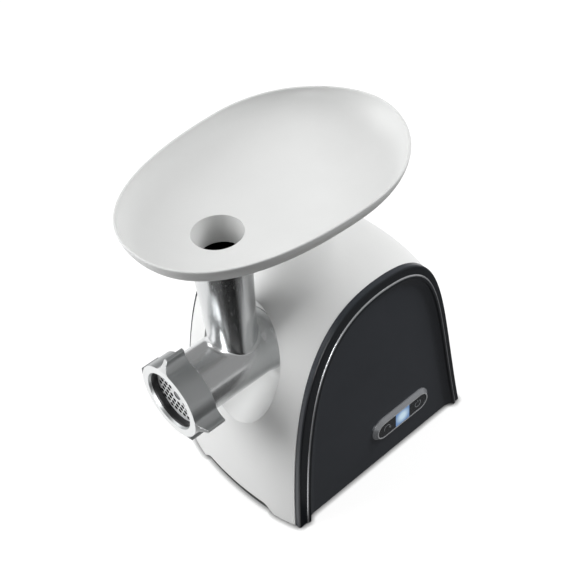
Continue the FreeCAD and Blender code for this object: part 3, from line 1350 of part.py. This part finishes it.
def main():
    """Draw every piece, shift it to the shared origin and write it."""
    os.makedirs("parts", exist_ok=True)
    pieces = {name: make() for name, make in NODES.items()}
    middle = footprint_middle(pieces.values())
    print("origin stands %.3f behind the feed tube axis" % middle.y)
    for name, shape in pieces.items():
        shape.translate(middle * -1)
        if not shape.isValid() or not shape.Solids:
            print("not a good solid:", name)
        shape.exportStep("parts/%s.step" % name)
    print(len(pieces), "pieces")


main()
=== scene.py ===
"""Looks of an electric meat grinder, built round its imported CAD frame."""

import functools
import logging
import math
from dataclasses import dataclass
from enum import Enum
from typing import ClassVar

import bmesh
import bpy
from mathutils import Matrix, Vector


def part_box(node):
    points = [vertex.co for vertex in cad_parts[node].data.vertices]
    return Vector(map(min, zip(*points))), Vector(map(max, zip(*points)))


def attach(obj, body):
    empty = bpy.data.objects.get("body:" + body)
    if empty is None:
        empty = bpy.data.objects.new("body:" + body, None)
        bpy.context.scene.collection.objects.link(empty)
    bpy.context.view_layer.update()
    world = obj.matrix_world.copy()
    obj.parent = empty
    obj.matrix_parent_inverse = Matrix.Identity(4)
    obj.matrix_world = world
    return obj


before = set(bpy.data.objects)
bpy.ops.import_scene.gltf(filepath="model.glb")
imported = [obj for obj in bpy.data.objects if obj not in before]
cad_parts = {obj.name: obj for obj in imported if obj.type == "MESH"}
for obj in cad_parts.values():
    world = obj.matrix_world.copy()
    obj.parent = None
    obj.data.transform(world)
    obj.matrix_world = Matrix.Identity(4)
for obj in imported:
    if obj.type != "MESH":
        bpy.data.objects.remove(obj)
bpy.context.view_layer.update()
LOG = logging.getLogger("grinder")

Colour = tuple[float, float, float]
Pair = tuple[float, float]
Point = tuple[float, float, float]
Socket = bpy.types.NodeSocket
Stroke = list[Pair]

TUBE_AXIS_Y = -0.077908         # feed tube axis in the shared frame
GRIND_AXIS_Z = 0.181            # height of the grinding axis
CLOUD_DETAIL = 5.0              # finer layers in the colour clouds of a finish
GRAIN_DETAIL = 2.0              # and in its grain
PATTERN_MIDDLE = (0.25, 0.75)   # part of a pattern that is spread over a range
EDGE_SAMPLES = 4                # rays that round an edge
CONTACT_SAMPLES = 8             # rays that find where the object meets the floor, for its painted contact shadow


class Lay(Enum):
    """Direction of the fine lines that a finish shows, as a stretch along the axes."""

    NONE = (1.0, 1.0, 1.0)
    ROUND_TUBE = (1.0, 1.0, 0.05)
    ROUND_BARREL = (1.0, 0.05, 1.0)
    ACROSS = (0.02, 1.0, 0.02)


class Ray(Enum):
    """Kinds of light path, with the switch that hides a studio piece from each."""

    CAMERA = "visible_camera"
    DIFFUSE = "visible_diffuse"
    GLOSSY = "visible_glossy"
    SHADOW = "visible_shadow"
    TRANSMISSION = "visible_transmission"
    VOLUME = "visible_volume_scatter"


def grey(tone: float) -> tuple[float, float, float, float]:
    """Give a neutral colour of a tone, as a socket takes it."""
    return (tone, tone, tone, 1.0)


def feed(tree: bpy.types.NodeTree, target: Socket, source: object) -> None:
    """Link a socket, or set it where the source is a plain value.

    Args:
        tree: Nodes that hold the socket.
        target: Input socket.
        source: Output socket or plain value.
    """
    if isinstance(source, Socket):
        tree.links.new(source, target)
    else:
        target.default_value = source


class NodeGraph:
    """Small helper that builds the shader nodes of one material."""

    def __init__(self, name: str) -> None:
        """Start an empty material.

        Args:
            name: Name of the new material.
        """
        self.material = bpy.data.materials.new(name)
        self.material.use_nodes = True
        self.tree = self.material.node_tree
        self.tree.nodes.clear()
        self.output = self.node("OutputMaterial")
        coordinates = self.node("TexCoord")
        self.place = coordinates.outputs["Object"]
        self.facing = coordinates.outputs["Normal"]

    def node(self, kind: str, **values: object) -> bpy.types.Node:
        """Add a node and set its properties.

        Args:
            kind: Blender's name of the node type, without its prefix.
            values: Properties of the node.

        Returns:
            The new node.
        """
        made = self.tree.nodes.new("ShaderNode" + kind)
        for key, value in values.items():
            setattr(made, key, value)
        return made

    def feed(self, target: Socket, source: object) -> None:
        """Link a socket of this material, or set it to a plain value."""
        feed(self.tree, target, source)

    def maths(self, operation: str, first: object, second: object = 0.0) -> Socket:
        """Add one step of arithmetic.

        Args:
            operation: Blender's name of the operation.
            first: First value or socket.
            second: Second value or socket.

        Returns:
            The result.
        """
        made = self.node("Math", operation=operation)
        self.feed(made.inputs[0], first)
        self.feed(made.inputs[1], second)
        return made.outputs[0]

    def noise(self, scale: float, detail: float, lay: Lay = Lay.NONE) -> Socket:
        """Add a cloud pattern.

        Args:
            scale: Clouds per metre.
            detail: Finer layers.
            lay: Direction along which the pattern is drawn out.

        Returns:
            The pattern, about 0 to 1.
        """
        stretched = self.node("VectorMath", operation="MULTIPLY")
        self.feed(stretched.inputs[0], self.place)
        stretched.inputs[1].default_value = lay.value
        made = self.node("TexNoise", noise_dimensions="3D")
        self.feed(made.inputs["Vector"], stretched.outputs[0])
        made.inputs["Scale"].default_value = scale
        made.inputs["Detail"].default_value = detail
        return made.outputs["Fac"]

    def ranged(self, source: Socket, given: Pair, result: Pair = (0.0, 1.0)) -> Socket:
        """Map one range to another, held at its ends.

        Args:
            source: Value to map.
            given: Values at the two ends of its range.
            result: Results there.

        Returns:
            The mapped value.
        """
        made = self.node("MapRange", clamp=True)
        self.feed(made.inputs["Value"], source)
        ends = zip(("From Min", "From Max", "To Min", "To Max"), (*given, *result))
        for name, value in ends:
            made.inputs[name].default_value = value
        return made.outputs["Result"]

    def spread(self, source: Socket, low: float, high: float) -> Socket:
        """Map the middle of a pattern to a range from low to high."""
        return self.ranged(source, PATTERN_MIDDLE, (low, high))

    def blend(self, share: object, first: object, second: object) -> Socket:
        """Mix two colours.

        Args:
            share: Share of the second colour.
            first: First colour or its socket.
            second: Second colour or its socket.

        Returns:
            The mixed colour.
        """
        made = self.node("Mix", data_type="RGBA")
        inputs = {socket.name: socket for socket in made.inputs if socket.type == "RGBA"}
        self.feed(made.inputs["Factor"], share)
        for name, source in (("A", first), ("B", second)):
            self.feed(inputs[name], (*source, 1.0) if isinstance(source, tuple) else source)
        return next(socket for socket in made.outputs if socket.type == "RGBA")

    def part(self, vector: Socket, axis: str) -> Socket:
        """Give one part of a vector.

        Args:
            vector: Place or direction.
            axis: X, Y or Z.

        Returns:
            The part along that axis.
        """
        made = self.node("SeparateXYZ")
        self.feed(made.inputs[0], vector)
        return made.outputs[axis]

    def lean(self, axis: str) -> Socket:
        """Give how far the surface faces along an axis."""
        return self.part(self.facing, axis)

    def coordinate(self, axis: str, origin: float = 0.0) -> Socket:
        """Give one coordinate of the place in metres, from an origin."""
        return self.maths("SUBTRACT", self.part(self.place, axis), origin)

    def length(self, first: Socket, second: Socket) -> Socket:
        """Give the length of a vector of two parts."""
        squares = [self.maths("MULTIPLY", part, part) for part in (first, second)]
        return self.maths("SQRT", self.maths("ADD", *squares))

    def bump(self, height: Socket, depth: float, edge: float) -> Socket:
        """Turn a pattern into fine relief, with edges that are slightly rounded.

        Args:
            height: Pattern.
            depth: Depth in metres.
            edge: Radius of the rounded edges in metres.

        Returns:
            The bent normal.
        """
        made = self.node("Bump")
        made.inputs["Strength"].default_value = 1.0
        made.inputs["Distance"].default_value = depth
        self.feed(made.inputs["Height"], height)
        if edge:
            rounded = self.node("Bevel", samples=EDGE_SAMPLES)
            rounded.inputs["Radius"].default_value = edge
            self.feed(made.inputs["Normal"], rounded.outputs["Normal"])
        return made.outputs["Normal"]

    def finish(self, shader: Socket) -> bpy.types.Material:
        """Connect the last shader and give the material."""
        self.feed(self.output.inputs["Surface"], shader)
        return self.material


@dataclass(frozen=True)
class Finish:
    """One surface finish: colour, gloss and fine relief."""

    name: str
    colour: Colour
    shade: Colour
    roughness: float
    roughness_swing: float = 0.06
    metal: float = 0.0
    cloud: float = 18.0             # colour clouds per metre
    grain: float = 2200.0           # grains per metre
    grain_depth: float = 0.000008
    lay: Lay = Lay.NONE
    specular: float = 0.5
    edge: float = 0.0               # radius of the rounded edges

    def tint(self, graph: NodeGraph) -> Socket:
        """Give the colour, a soft mix of the two shades."""
        clouds = graph.spread(graph.noise(self.cloud, CLOUD_DETAIL), 0.0, 1.0)
        return graph.blend(clouds, self.colour, self.shade)

    def extra(self, graph: NodeGraph, shader: bpy.types.Node) -> None:
        """Set what only some finishes have: nothing here."""

    @functools.cache
    def material(self) -> bpy.types.Material:
        """Build the material of this finish, once.

        Returns:
            The material.
        """
        graph = NodeGraph(self.name)
        fine = graph.noise(self.grain, GRAIN_DETAIL, self.lay)
        swing = self.roughness_swing
        gloss = graph.spread(fine, self.roughness - swing, self.roughness + swing)
        shader = graph.node("BsdfPrincipled")
        graph.feed(shader.inputs["Base Color"], self.tint(graph))
        graph.feed(shader.inputs["Roughness"], gloss)
        graph.feed(shader.inputs["Normal"], graph.bump(fine, self.grain_depth, self.edge))
        shader.inputs["Metallic"].default_value = self.metal
        shader.inputs["Specular IOR Level"].default_value = self.specular
        self.extra(graph, shader)
        return graph.finish(shader.outputs["BSDF"])


@dataclass(frozen=True)
class CastFinish(Finish):
    """Polished casting, with painted shade inside its feed tube."""

    # painted shade inside the feed tube's bore
    painted_tube_shade: Colour = (0.06, 0.06, 0.062)
    painted_shade_above: float = 0.206        # height over which the tube stands free and gets painted shade inside
    painted_shade_radius: float = 0.0204      # limit of the painted shade at the grinding axis
    painted_shade_taper: float = 0.0446       # growth of that limit with height

    def tint(self, graph: NodeGraph) -> Socket:
        """Give the colour, with painted shade inside the tube.

        Args:
            graph: Nodes of the material.

        Returns:
            The colour.
        """
        reach = graph.length(graph.coordinate("X"), graph.coordinate("Y", TUBE_AXIS_Y))
        limit = graph.maths("MULTIPLY", graph.coordinate("Z", GRIND_AXIS_Z), self.painted_shade_taper)
        # painted shade: the bore of the feed tube is coloured dark
        inside = graph.maths("LESS_THAN", graph.maths("SUBTRACT", reach, limit), self.painted_shade_radius)
        above = graph.maths("GREATER_THAN", graph.coordinate("Z"), self.painted_shade_above)
        return graph.blend(graph.maths("MULTIPLY", inside, above), super().tint(graph), self.painted_tube_shade)


@dataclass(frozen=True)
class FacedFinish(Finish):
    """Finish with painted shade: its sides and bores are darker than its flat faces."""

    axis: str = "Y"                 # axis that the flat faces look along
    # painted shade on the sides, such as the walls of holes
    painted_side_shade: Colour = (0.012, 0.012, 0.013)
    face_limit: float = 0.5         # least lean towards that axis of a flat face
    bore: float = 0.0               # radius round the grinding axis inside which all gets painted shade
    painted_bore_shade: Colour = (0.05, 0.05, 0.052)

    def tint(self, graph: NodeGraph) -> Socket:
        """Give the colour, with painted shade on the sides and in the bore.

        Args:
            graph: Nodes of the material.

        Returns:
            The colour.
        """
        lean = graph.maths("ABSOLUTE", graph.lean(self.axis))
        # painted shade: surfaces that turn away from the axis get the dark side colour
        side = graph.maths("LESS_THAN", lean, self.face_limit)
        ground = graph.blend(side, super().tint(graph), self.painted_side_shade)
        if not self.bore:
            return ground
        # painted shade inside the bore round the grinding axis
        reach = graph.length(graph.coordinate("X"), graph.coordinate("Z", GRIND_AXIS_Z))
        return graph.blend(graph.maths("LESS_THAN", reach, self.bore), ground, self.painted_bore_shade)


@dataclass(frozen=True)
class RidgeFinish(Finish):
    """Moulding with a dark rim and a painted highlight: a pale metallic line on the outer flank of
    its ridge.
    """

    node: str = "right_panel"
    # painted highlight: pale metallic line on the ridge's outer flank
    painted_highlight: Colour = (0.66, 0.67, 0.69)
    painted_highlight_metal: float = 0.8
    painted_highlight_depth: float = 0.00145     # depth of the painted highlight under the ridge's crest
    flat: float = 0.965             # lean along X of the ridge's flat top
    steep: float = 0.82             # and of its flank
    rim: Colour = (0.014, 0.016, 0.019)
    rim_start: float = 0.0030       # depth under the crest where the darker rim begins
    rim_full: float = 0.0019        # and where it is whole

    def flank(self, graph: NodeGraph) -> Socket:
        """Give the share of the painted highlight.

        Args:
            graph: Nodes of the material.

        Returns:
            One on the ridge's outer flank, nought elsewhere.
        """
        low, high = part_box(self.node)
        outward = []
        for axis, index in (("Y", 1), ("Z", 2)):
            place = graph.coordinate(axis, (low[index] + high[index]) / 2)
            outward.append(graph.maths("MULTIPLY", graph.lean(axis), place))
        outer = graph.maths("GREATER_THAN", graph.maths("ADD", *outward), 0.0)
        sloped = graph.ranged(graph.lean("X"), (self.flat, self.steep))
        above = graph.maths("GREATER_THAN", graph.coordinate("X", high[0]), -self.painted_highlight_depth)
        return graph.maths("MULTIPLY", graph.maths("MULTIPLY", outer, sloped), above)

    def tint(self, graph: NodeGraph) -> Socket:
        """Give the colour, darker on the rim, with a painted highlight on the ridge's flank.

        Args:
            graph: Nodes of the material.

        Returns:
            The colour.
        """
        depth = graph.coordinate("X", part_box(self.node)[1][0])
        rim = graph.ranged(depth, (-self.rim_start, -self.rim_full))
        ground = graph.blend(rim, super().tint(graph), self.rim)
        # painted highlight on the ridge's outer flank
        return graph.blend(self.flank(graph), ground, self.painted_highlight)

    def extra(self, graph: NodeGraph, shader: bpy.types.Node) -> None:
        """Make the painted highlight on the ridge's flank metallic."""
        metal = graph.maths("MULTIPLY", self.flank(graph), self.painted_highlight_metal)
        graph.feed(shader.inputs["Metallic"], metal)


@dataclass(frozen=True)
class GlowFinish(Finish):
    """Lit window: pale in the middle, blue towards its ends."""

    node: str = "display_window"
    middle: Colour = (0.62, 0.78, 0.88)
    ends: Colour = (0.15, 0.27, 0.50)
    strength: float = 0.8
    fade: float = 0.7               # how soon the blue begins towards the ends

    def extra(self, graph: NodeGraph, shader: bpy.types.Node) -> None:
        """Light the window from its middle.

        Args:
            graph: Nodes of the material.
            shader: Shader that gives off the light.
        """
        low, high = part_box(self.node)
        parts = []
        for axis, index in (("Y", 1), ("Z", 2)):
            half = (high[index] - low[index]) / 2
            off = graph.coordinate(axis, (low[index] + high[index]) / 2)
            parts.append(graph.maths("DIVIDE", off, half))
        away = graph.spread(graph.maths("MULTIPLY", graph.length(*parts), self.fade), 0.0, 1.0)
        graph.feed(shader.inputs["Emission Color"], graph.blend(away, self.middle, self.ends))
        shader.inputs["Emission Strength"].default_value = self.strength


WHITE = Finish("white_moulding", (0.80, 0.805, 0.80), (0.775, 0.78, 0.775), 0.42,
               grain_depth=0.000004, specular=0.4, edge=0.0006)
TRAY_WHITE = Finish("tray_moulding", (0.665, 0.67, 0.665), (0.64, 0.645, 0.64), 0.36,
                    grain_depth=0.000003, specular=0.25, edge=0.0006)
CHARCOAL = Finish("charcoal_moulding", (0.040, 0.044, 0.052), (0.034, 0.038, 0.045), 0.32,
                  grain=2600.0, grain_depth=0.000006, specular=0.3, edge=0.0006)
RIDGED = RidgeFinish("ridged_moulding", (0.040, 0.044, 0.052), (0.034, 0.038, 0.045), 0.32,
                     grain=2600.0, grain_depth=0.000006, specular=0.3, edge=0.0004)
BLACK = Finish("black_moulding", (0.02, 0.02, 0.022), (0.014, 0.014, 0.015), 0.5, edge=0.0003)
RUBBER = Finish("black_rubber", (0.022, 0.022, 0.022), (0.03, 0.03, 0.03), 0.75,
                grain_depth=0.00003)
TUBE_METAL = CastFinish("polished_casting", (0.70, 0.71, 0.715), (0.64, 0.65, 0.655), 0.24,
                        0.04, 1.0, 26.0, 2600.0, 0.000001, Lay.ROUND_TUBE, edge=0.0005)
# painted shade on the ring's sides and in its bore
RING_METAL = FacedFinish("blasted_ring", (0.85, 0.86, 0.86), (0.80, 0.81, 0.81), 0.38,
                         0.05, 1.0, 30.0, 3200.0, 0.000006, edge=0.0006,
                         painted_side_shade=(0.50, 0.515, 0.52), bore=0.0292)
STEEL = Finish("ground_steel", (0.62, 0.63, 0.64), (0.54, 0.55, 0.56), 0.3,
               0.08, 1.0, 40.0, 2400.0, 0.000002, Lay.ROUND_BARREL)
# painted shade on the walls of the plate's holes
PLATE_STEEL = FacedFinish("plate_steel", (0.86, 0.87, 0.87), (0.80, 0.81, 0.82), 0.42,
                          0.06, 0.35, 40.0, 2400.0, 0.000003, Lay.ROUND_BARREL)
SCREW_STEEL = Finish("zinc_screw", (0.5, 0.5, 0.5), (0.42, 0.43, 0.44), 0.38, 0.06, 1.0, 60.0)
DARK_STEEL = Finish("hardened_steel", (0.34, 0.34, 0.35), (0.27, 0.27, 0.28), 0.35,
                    0.08, 1.0, 50.0)
# painted shade on the bezel's sides
SILVER = FacedFinish("silver_paint", (0.86, 0.87, 0.89), (0.80, 0.81, 0.83), 0.26,
                     0.04, 0.5, 80.0, 3200.0, 0.000004, edge=0.0003, axis="X",
                     painted_side_shade=(0.36, 0.37, 0.39), face_limit=0.9)
KEY = Finish("key_moulding", (0.030, 0.032, 0.036), (0.024, 0.026, 0.029), 0.26,
             grain=3000.0, grain_depth=0.000003, edge=0.0003)
MARK = Finish("key_mark", (0.30, 0.31, 0.33), (0.26, 0.27, 0.29), 0.4)
BRONZE = Finish("sintered_bronze", (0.55, 0.36, 0.18), (0.45, 0.29, 0.14), 0.42,
                0.08, 1.0, 60.0)
COPPER = Finish("wound_copper", (0.58, 0.27, 0.12), (0.42, 0.18, 0.08), 0.36,
                0.1, 1.0, 90.0, 1800.0, 0.00004, Lay.ROUND_BARREL)
CASE = Finish("die_cast_case", (0.46, 0.47, 0.48), (0.38, 0.39, 0.40), 0.45,
              0.06, 1.0, 30.0, 1600.0, 0.00002)
IRON = Finish("core_lamination", (0.16, 0.16, 0.17), (0.11, 0.11, 0.12), 0.5,
              0.08, 0.8, 40.0, 2400.0, 0.00002, Lay.ACROSS)
NYLON = Finish("gear_nylon", (0.72, 0.70, 0.62), (0.66, 0.64, 0.56), 0.5)
BOARD = Finish("board_green", (0.02, 0.13, 0.06), (0.015, 0.1, 0.045), 0.4)
CARBON = Finish("brush_carbon", (0.03, 0.03, 0.03), (0.05, 0.05, 0.05), 0.7)
LENS = GlowFinish("lit_pane", (0.05, 0.08, 0.13), (0.045, 0.07, 0.12), 0.18,
                  grain_depth=0.000002)


@dataclass(frozen=True)
class Lamp:
    """Soft flat light that one kind of light path doesn't see."""

    name: str
    place: Point
    aim: Point
    size: Pair
    power: float                    # watts
    hidden_from: Ray

    def build(self) -> None:
        """Hang the lamp."""
        data = bpy.data.lights.new(self.name, "AREA")
        data.shape = "RECTANGLE"
        data.size, data.size_y = self.size
        data.energy = self.power
        light = bpy.data.objects.new(self.name, data)
        light.location = self.place
        light.rotation_mode = "QUATERNION"
        towards = Vector(self.aim) - Vector(self.place)
        light.rotation_quaternion = towards.to_track_quat("-Z", "Y")
        setattr(light, self.hidden_from.value, False)
        bpy.context.scene.collection.objects.link(light)


@dataclass(frozen=True)
class Card:
    """Dark card on the floor that only the glossy pieces mirror."""

    name: str
    angles: Pair                    # of its two ends round the feed tube, in degrees from +X
    radii: Pair                     # of its inner and outer edge
    tone: float
    height: float = 0.0004
    steps: int = 24

    def build(self) -> None:
        """Lay the card."""
        start, end = self.angles
        points = []
        for radius in self.radii:
            for step in range(self.steps + 1):
                angle = math.radians(start + (end - start) * step / self.steps)
                across, along = radius * math.cos(angle), radius * math.sin(angle)
                points.append((across, TUBE_AXIS_Y + along, self.height))
        row = self.steps + 1
        faces = [(i, i + 1, i + row + 1, i + row) for i in range(self.steps)]
        mesh = bpy.data.meshes.new(self.name)
        mesh.from_pydata(points, [], faces)
        card = bpy.data.objects.new(self.name, mesh)
        bpy.context.scene.collection.objects.link(card)
        for ray in Ray:
            setattr(card, ray.value, ray is Ray.GLOSSY)
        graph = NodeGraph(self.name)
        glow = graph.node("Emission")
        glow.inputs["Color"].default_value = grey(self.tone)
        mesh.materials.append(graph.finish(glow.outputs["Emission"]))


LAMPS = (
    Lamp("left_softbox", (-1.1, -1.3, 1.18), (0.0, -0.05, 0.2), (1.6, 1.6), 43.0, Ray.GLOSSY),
    Lamp("left_sheen", (-1.4, -1.0, 1.1), (0.0, -0.05, 0.2), (1.4, 1.4), 11.0, Ray.DIFFUSE),
    Lamp("rear_softbox", (0.65, 1.05, 1.35), (0.0, 0.0, 0.25), (0.8, 0.8), 22.0, Ray.GLOSSY),
    Lamp("front_strip", (0.95, -1.2, 0.45), (0.08, -0.05, 0.15), (0.2, 0.9), 16.0, Ray.DIFFUSE),
)
CARDS = (
    Card("left_card", (-98.0, -50.0), (0.16, 1.4), 0.09),
    Card("front_card", (-50.0, -8.0), (0.16, 1.4), 0.0),
    Card("corner_card", (-8.0, 6.0), (0.05, 1.4), 0.0),
    Card("side_card", (6.0, 94.0), (0.05, 1.4), 0.13),
)


@dataclass
class Studio:
    """Floor, light and camera of the picture."""

    floor_size: float = 12.0
    eye: Point = (0.577998, TUBE_AXIS_Y - 0.395319, 0.899370)
    right: Point = (0.672673, 0.736519, -0.071068)
    up: Point = (-0.462740, 0.493675, 0.736313)
    lens_mm: float = 66.871
    sensor_mm: float = 36.0
    nearest: float = 0.05           # what the camera sees begins and ends here
    farthest: float = 40.0
    floor_colour: float = 0.28
    floor_seen: float = 0.80        # light that makes the floor white where it is seen
    contact_shadow_reach: float = 0.006          # reach of the painted contact shadow where the object meets the floor
    contact_shadow_depth: float = 3.0      # how dark that painted shadow is
    surround: float = 0.29
    mirrored: float = 0.36          # surround as the glossy pieces mirror it

    def build(self) -> None:
        """Make the camera, the floor and the lights."""
        self.camera()
        self.floor()
        self.world()
        for piece in (*LAMPS, *CARDS):
            piece.build()
        bpy.context.scene.view_settings.view_transform = "Standard"

    def camera(self) -> None:
        """Place the camera at the photograph's viewpoint."""
        data = bpy.data.cameras.new("camera")
        data.sensor_width = self.sensor_mm
        data.lens = self.lens_mm
        data.clip_start = self.nearest
        data.clip_end = self.farthest
        camera = bpy.data.objects.new("camera", data)
        bpy.context.scene.collection.objects.link(camera)
        right = Vector(self.right)
        up = Vector(self.up)
        back = right.cross(up)
        turn = Matrix((right, up, back)).transposed()
        camera.matrix_world = Matrix.Translation(Vector(self.eye)) @ turn.to_4x4()
        bpy.context.scene.camera = camera

    def floor(self) -> None:
        """Lay the pale floor, with a painted contact shadow under the object."""
        half = self.floor_size / 2
        mesh = bpy.data.meshes.new("floor")
        corners = [(-half, -half, 0), (half, -half, 0), (half, half, 0), (-half, half, 0)]
        mesh.from_pydata(corners, [], [(0, 1, 2, 3)])
        floor = bpy.data.objects.new("floor", mesh)
        bpy.context.scene.collection.objects.link(floor)
        graph = NodeGraph("pale_floor")
        path = graph.node("LightPath")
        seen = graph.maths("MAXIMUM", path.outputs["Is Camera Ray"], path.outputs["Is Glossy Ray"])
        seen = graph.maths("MAXIMUM", seen, path.outputs["Is Transmission Ray"])
        # painted contact shadow: the floor's white glow fades where the object is near
        near = graph.node("AmbientOcclusion", samples=CONTACT_SAMPLES)
        near.inputs["Distance"].default_value = self.contact_shadow_reach
        plain = graph.node("BsdfDiffuse")
        plain.inputs["Color"].default_value = grey(self.floor_colour)
        glow = graph.node("Emission")
        glow.inputs["Color"].default_value = grey(1.0)
        white = graph.maths("MULTIPLY", seen, self.floor_seen)
        open_share = graph.maths("POWER", near.outputs["AO"], self.contact_shadow_depth)
        graph.feed(glow.inputs["Strength"], graph.maths("MULTIPLY", white, open_share))
        both = graph.node("AddShader")
        graph.feed(both.inputs[0], plain.outputs["BSDF"])
        graph.feed(both.inputs[1], glow.outputs["Emission"])
        mesh.materials.append(graph.finish(both.outputs["Shader"]))

    def world(self) -> None:
        """Surround the scene with soft light, white where it is seen."""
        world = bpy.data.worlds.new("surround")
        bpy.context.scene.world = world
        world.use_nodes = True
        tree = world.node_tree
        ground = tree.nodes["Background"]
        ground.inputs["Color"].default_value = grey(1.0)
        path = tree.nodes.new("ShaderNodeLightPath")
        strength = self.surround
        for ray, seen in (("Glossy", self.mirrored), ("Transmission", 1.0), ("Camera", 1.0)):
            mix = tree.nodes.new("ShaderNodeMix")
            feed(tree, mix.inputs["Factor"], path.outputs[f"Is {ray} Ray"])
            feed(tree, mix.inputs["A"], strength)
            mix.inputs["B"].default_value = seen
            strength = mix.outputs["Result"]
        feed(tree, ground.inputs["Strength"], strength)


@dataclass
class SubAssembly:
    """Group of CAD nodes, each with its finish."""

    finishes: ClassVar[dict[Finish, tuple[str, ...]]] = {}

    def build(self) -> None:
        """Dress every node of the group."""
        for finish, nodes in self.finishes.items():
            for node in nodes:
                self.dress(node, finish)

    def dress(self, node: str, finish: Finish) -> None:
        """Give a CAD node a finish.

        Args:
            node: Name of the node.
            finish: Finish that it shows.
        """
        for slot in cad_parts[node].material_slots:
            slot.material = finish.material()
        LOG.info("dressed %s in %s", node, finish.name)


@dataclass
class MotorBody(SubAssembly):
    """White shell, charcoal panels and the base."""

    finishes = {
        WHITE: ("main_shell",),
        RIDGED: ("right_panel",),
        CHARCOAL: ("left_panel",),
        BLACK: ("base_plate",),
        RUBBER: ("rubber_feet", "cord_gland"),
        SCREW_STEEL: ("base_screws",),
    }


@dataclass
class ControlPod(SubAssembly):
    """Oval control frame with two keys and a lit window."""

    mark_radius: float = 0.0042
    mark_width: float = 0.0008
    mark_rise: float = 0.00012
    mark_sunk: float = 0.0001
    mark_top: float = 0.75              # flat top of a stroke, as a share of its width
    arc_steps: int = 28
    power_arc: Pair = (125.0, 415.0)    # first and last angle in degrees
    power_bar: Pair = (0.35, 1.25)      # its two ends, in radii of the mark
    arrow_arc: Pair = (-30.0, 210.0)
    arrow_head: tuple[Pair, ...] = (    # points of its barbs from the tip, in radii of the mark
        (0.55, 0.15), (0.0, 0.0), (-0.1, 0.62))

    finishes = {
        SILVER: ("control_bezel",),
        KEY: ("power_key", "reverse_key"),
        LENS: ("display_window", "window_lamp"),
        BOARD: ("control_board",),
        BLACK: ("key_switches",),
    }

    def build(self) -> None:
        """Dress the control pod and mark its keys."""
        super().build()
        radius = self.mark_radius
        bar = [(0.0, share * radius) for share in self.power_bar]
        self.mark("power_mark", "power_key", [self.arc(self.power_arc), bar])
        arrow = self.arc(self.arrow_arc)
        tip = arrow[0]
        head = [(tip[0] + along * radius, tip[1] + up * radius) for along, up in self.arrow_head]
        self.mark("reverse_mark", "reverse_key", [arrow, head])

    def arc(self, angles: Pair) -> Stroke:
        """Give the points of an arc on a key.

        Args:
            angles: First and last angle in degrees.

        Returns:
            Points along and up the key, from the middle of the mark.
        """
        start, end = angles
        steps, radius = self.arc_steps, self.mark_radius
        turns = [math.radians(start + (end - start) * step / steps) for step in range(steps + 1)]
        return [(radius * math.cos(turn), radius * math.sin(turn)) for turn in turns]

    def mark(self, name: str, key: str, strokes: list[Stroke]) -> None:
        """Raise a printed mark on the face of a key.

        Args:
            name: Name of the mark.
            key: Node of the key that carries it; the body has the same name.
            strokes: Lines of the mark.
        """
        low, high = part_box(key)
        face = high[0]
        middle = ((low[1] + high[1]) / 2, (low[2] + high[2]) / 2)
        mesh = bmesh.new()
        for stroke in strokes:
            self.sweep(mesh, stroke, face, middle)
        data = bpy.data.meshes.new(name)
        mesh.to_mesh(data)
        mesh.free()
        piece = bpy.data.objects.new(name, data)
        bpy.context.scene.collection.objects.link(piece)
        data.materials.append(MARK.material())
        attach(piece, key)
        LOG.info("raised %s on %s", name, key)

    def sweep(self, mesh: bmesh.types.BMesh, stroke: Stroke, face: float, middle: Pair) -> None:
        """Sweep a flat band with sloped edges along a stroke.

        Args:
            mesh: Mesh that takes the band.
            stroke: Points along and up the key.
            face: Place of the key's face along X.
            middle: Middle of the mark along Y and Z.
        """
        half = self.mark_width / 2
        top = self.mark_top * half
        section = ((-half, -self.mark_sunk), (-top, self.mark_rise),
                   (top, self.mark_rise), (half, -self.mark_sunk))
        rings = []
        for index, point in enumerate(stroke):
            before = Vector(stroke[max(index - 1, 0)])
            after = Vector(stroke[min(index + 1, len(stroke) - 1)])
            along = (after - before).normalized()
            side = Vector((-along.y, along.x))
            ring = []
            for offset, rise in section:
                place = Vector(point) + side * offset
                ring.append(mesh.verts.new((face + rise, middle[0] + place.x, middle[1] + place.y)))
            rings.append(ring)
        corners = len(section)
        for first, second in zip(rings, rings[1:]):
            for index in range(corners):
                following = (index + 1) % corners
                mesh.faces.new((first[index], first[following], second[following], second[index]))
        mesh.faces.new(rings[0])
        mesh.faces.new(tuple(reversed(rings[-1])))
        bmesh.ops.recalc_face_normals(mesh, faces=mesh.faces[:])


@dataclass
class GrindingHead(SubAssembly):
    """Metal head with its plate, knife, auger and ring nut."""

    finishes = {
        TUBE_METAL: ("grinder_housing",),
        RING_METAL: ("ring_nut",),
        PLATE_STEEL: ("grinding_plate",),
        STEEL: ("knife",),
        DARK_STEEL: ("auger",),
        NYLON: ("auger_washer",),
        BRONZE: ("auger_bush",),
    }


@dataclass
class FeedTray(SubAssembly):
    """White oval tray."""

    finishes = {TRAY_WHITE: ("feed_tray",)}


@dataclass
class DriveTrain(SubAssembly):
    """Motor and gears inside the body."""

    finishes = {
        CASE: ("gearbox_housing", "gearbox_cover", "motor_bracket"),
        DARK_STEEL: ("second_gear", "first_gear_pin", "second_gear_pin", "output_wheel",
                     "output_shaft", "motor_shaft"),
        NYLON: ("first_gear",),
        BRONZE: ("output_bushes", "brush_holders"),
        RUBBER: ("shaft_seal",),
        SCREW_STEEL: ("gearbox_screws", "motor_bolts"),
        IRON: ("stator_core", "armature_core"),
        COPPER: ("field_coils", "armature_winding", "commutator"),
        STEEL: ("motor_bearings",),
        CARBON: ("carbon_brushes",),
        BLACK: ("motor_cradle", "cooling_fan"),
    }


def main() -> None:
    """Build the picture and every piece in order."""
    logging.basicConfig(level=logging.INFO, format="%(message)s")
    Studio().build()
    for piece in (MotorBody(), ControlPod(), GrindingHead(), FeedTray(), DriveTrain()):
        piece.build()
        LOG.info("built %s", type(piece).__name__)


if __name__ == "__main__":
    main()
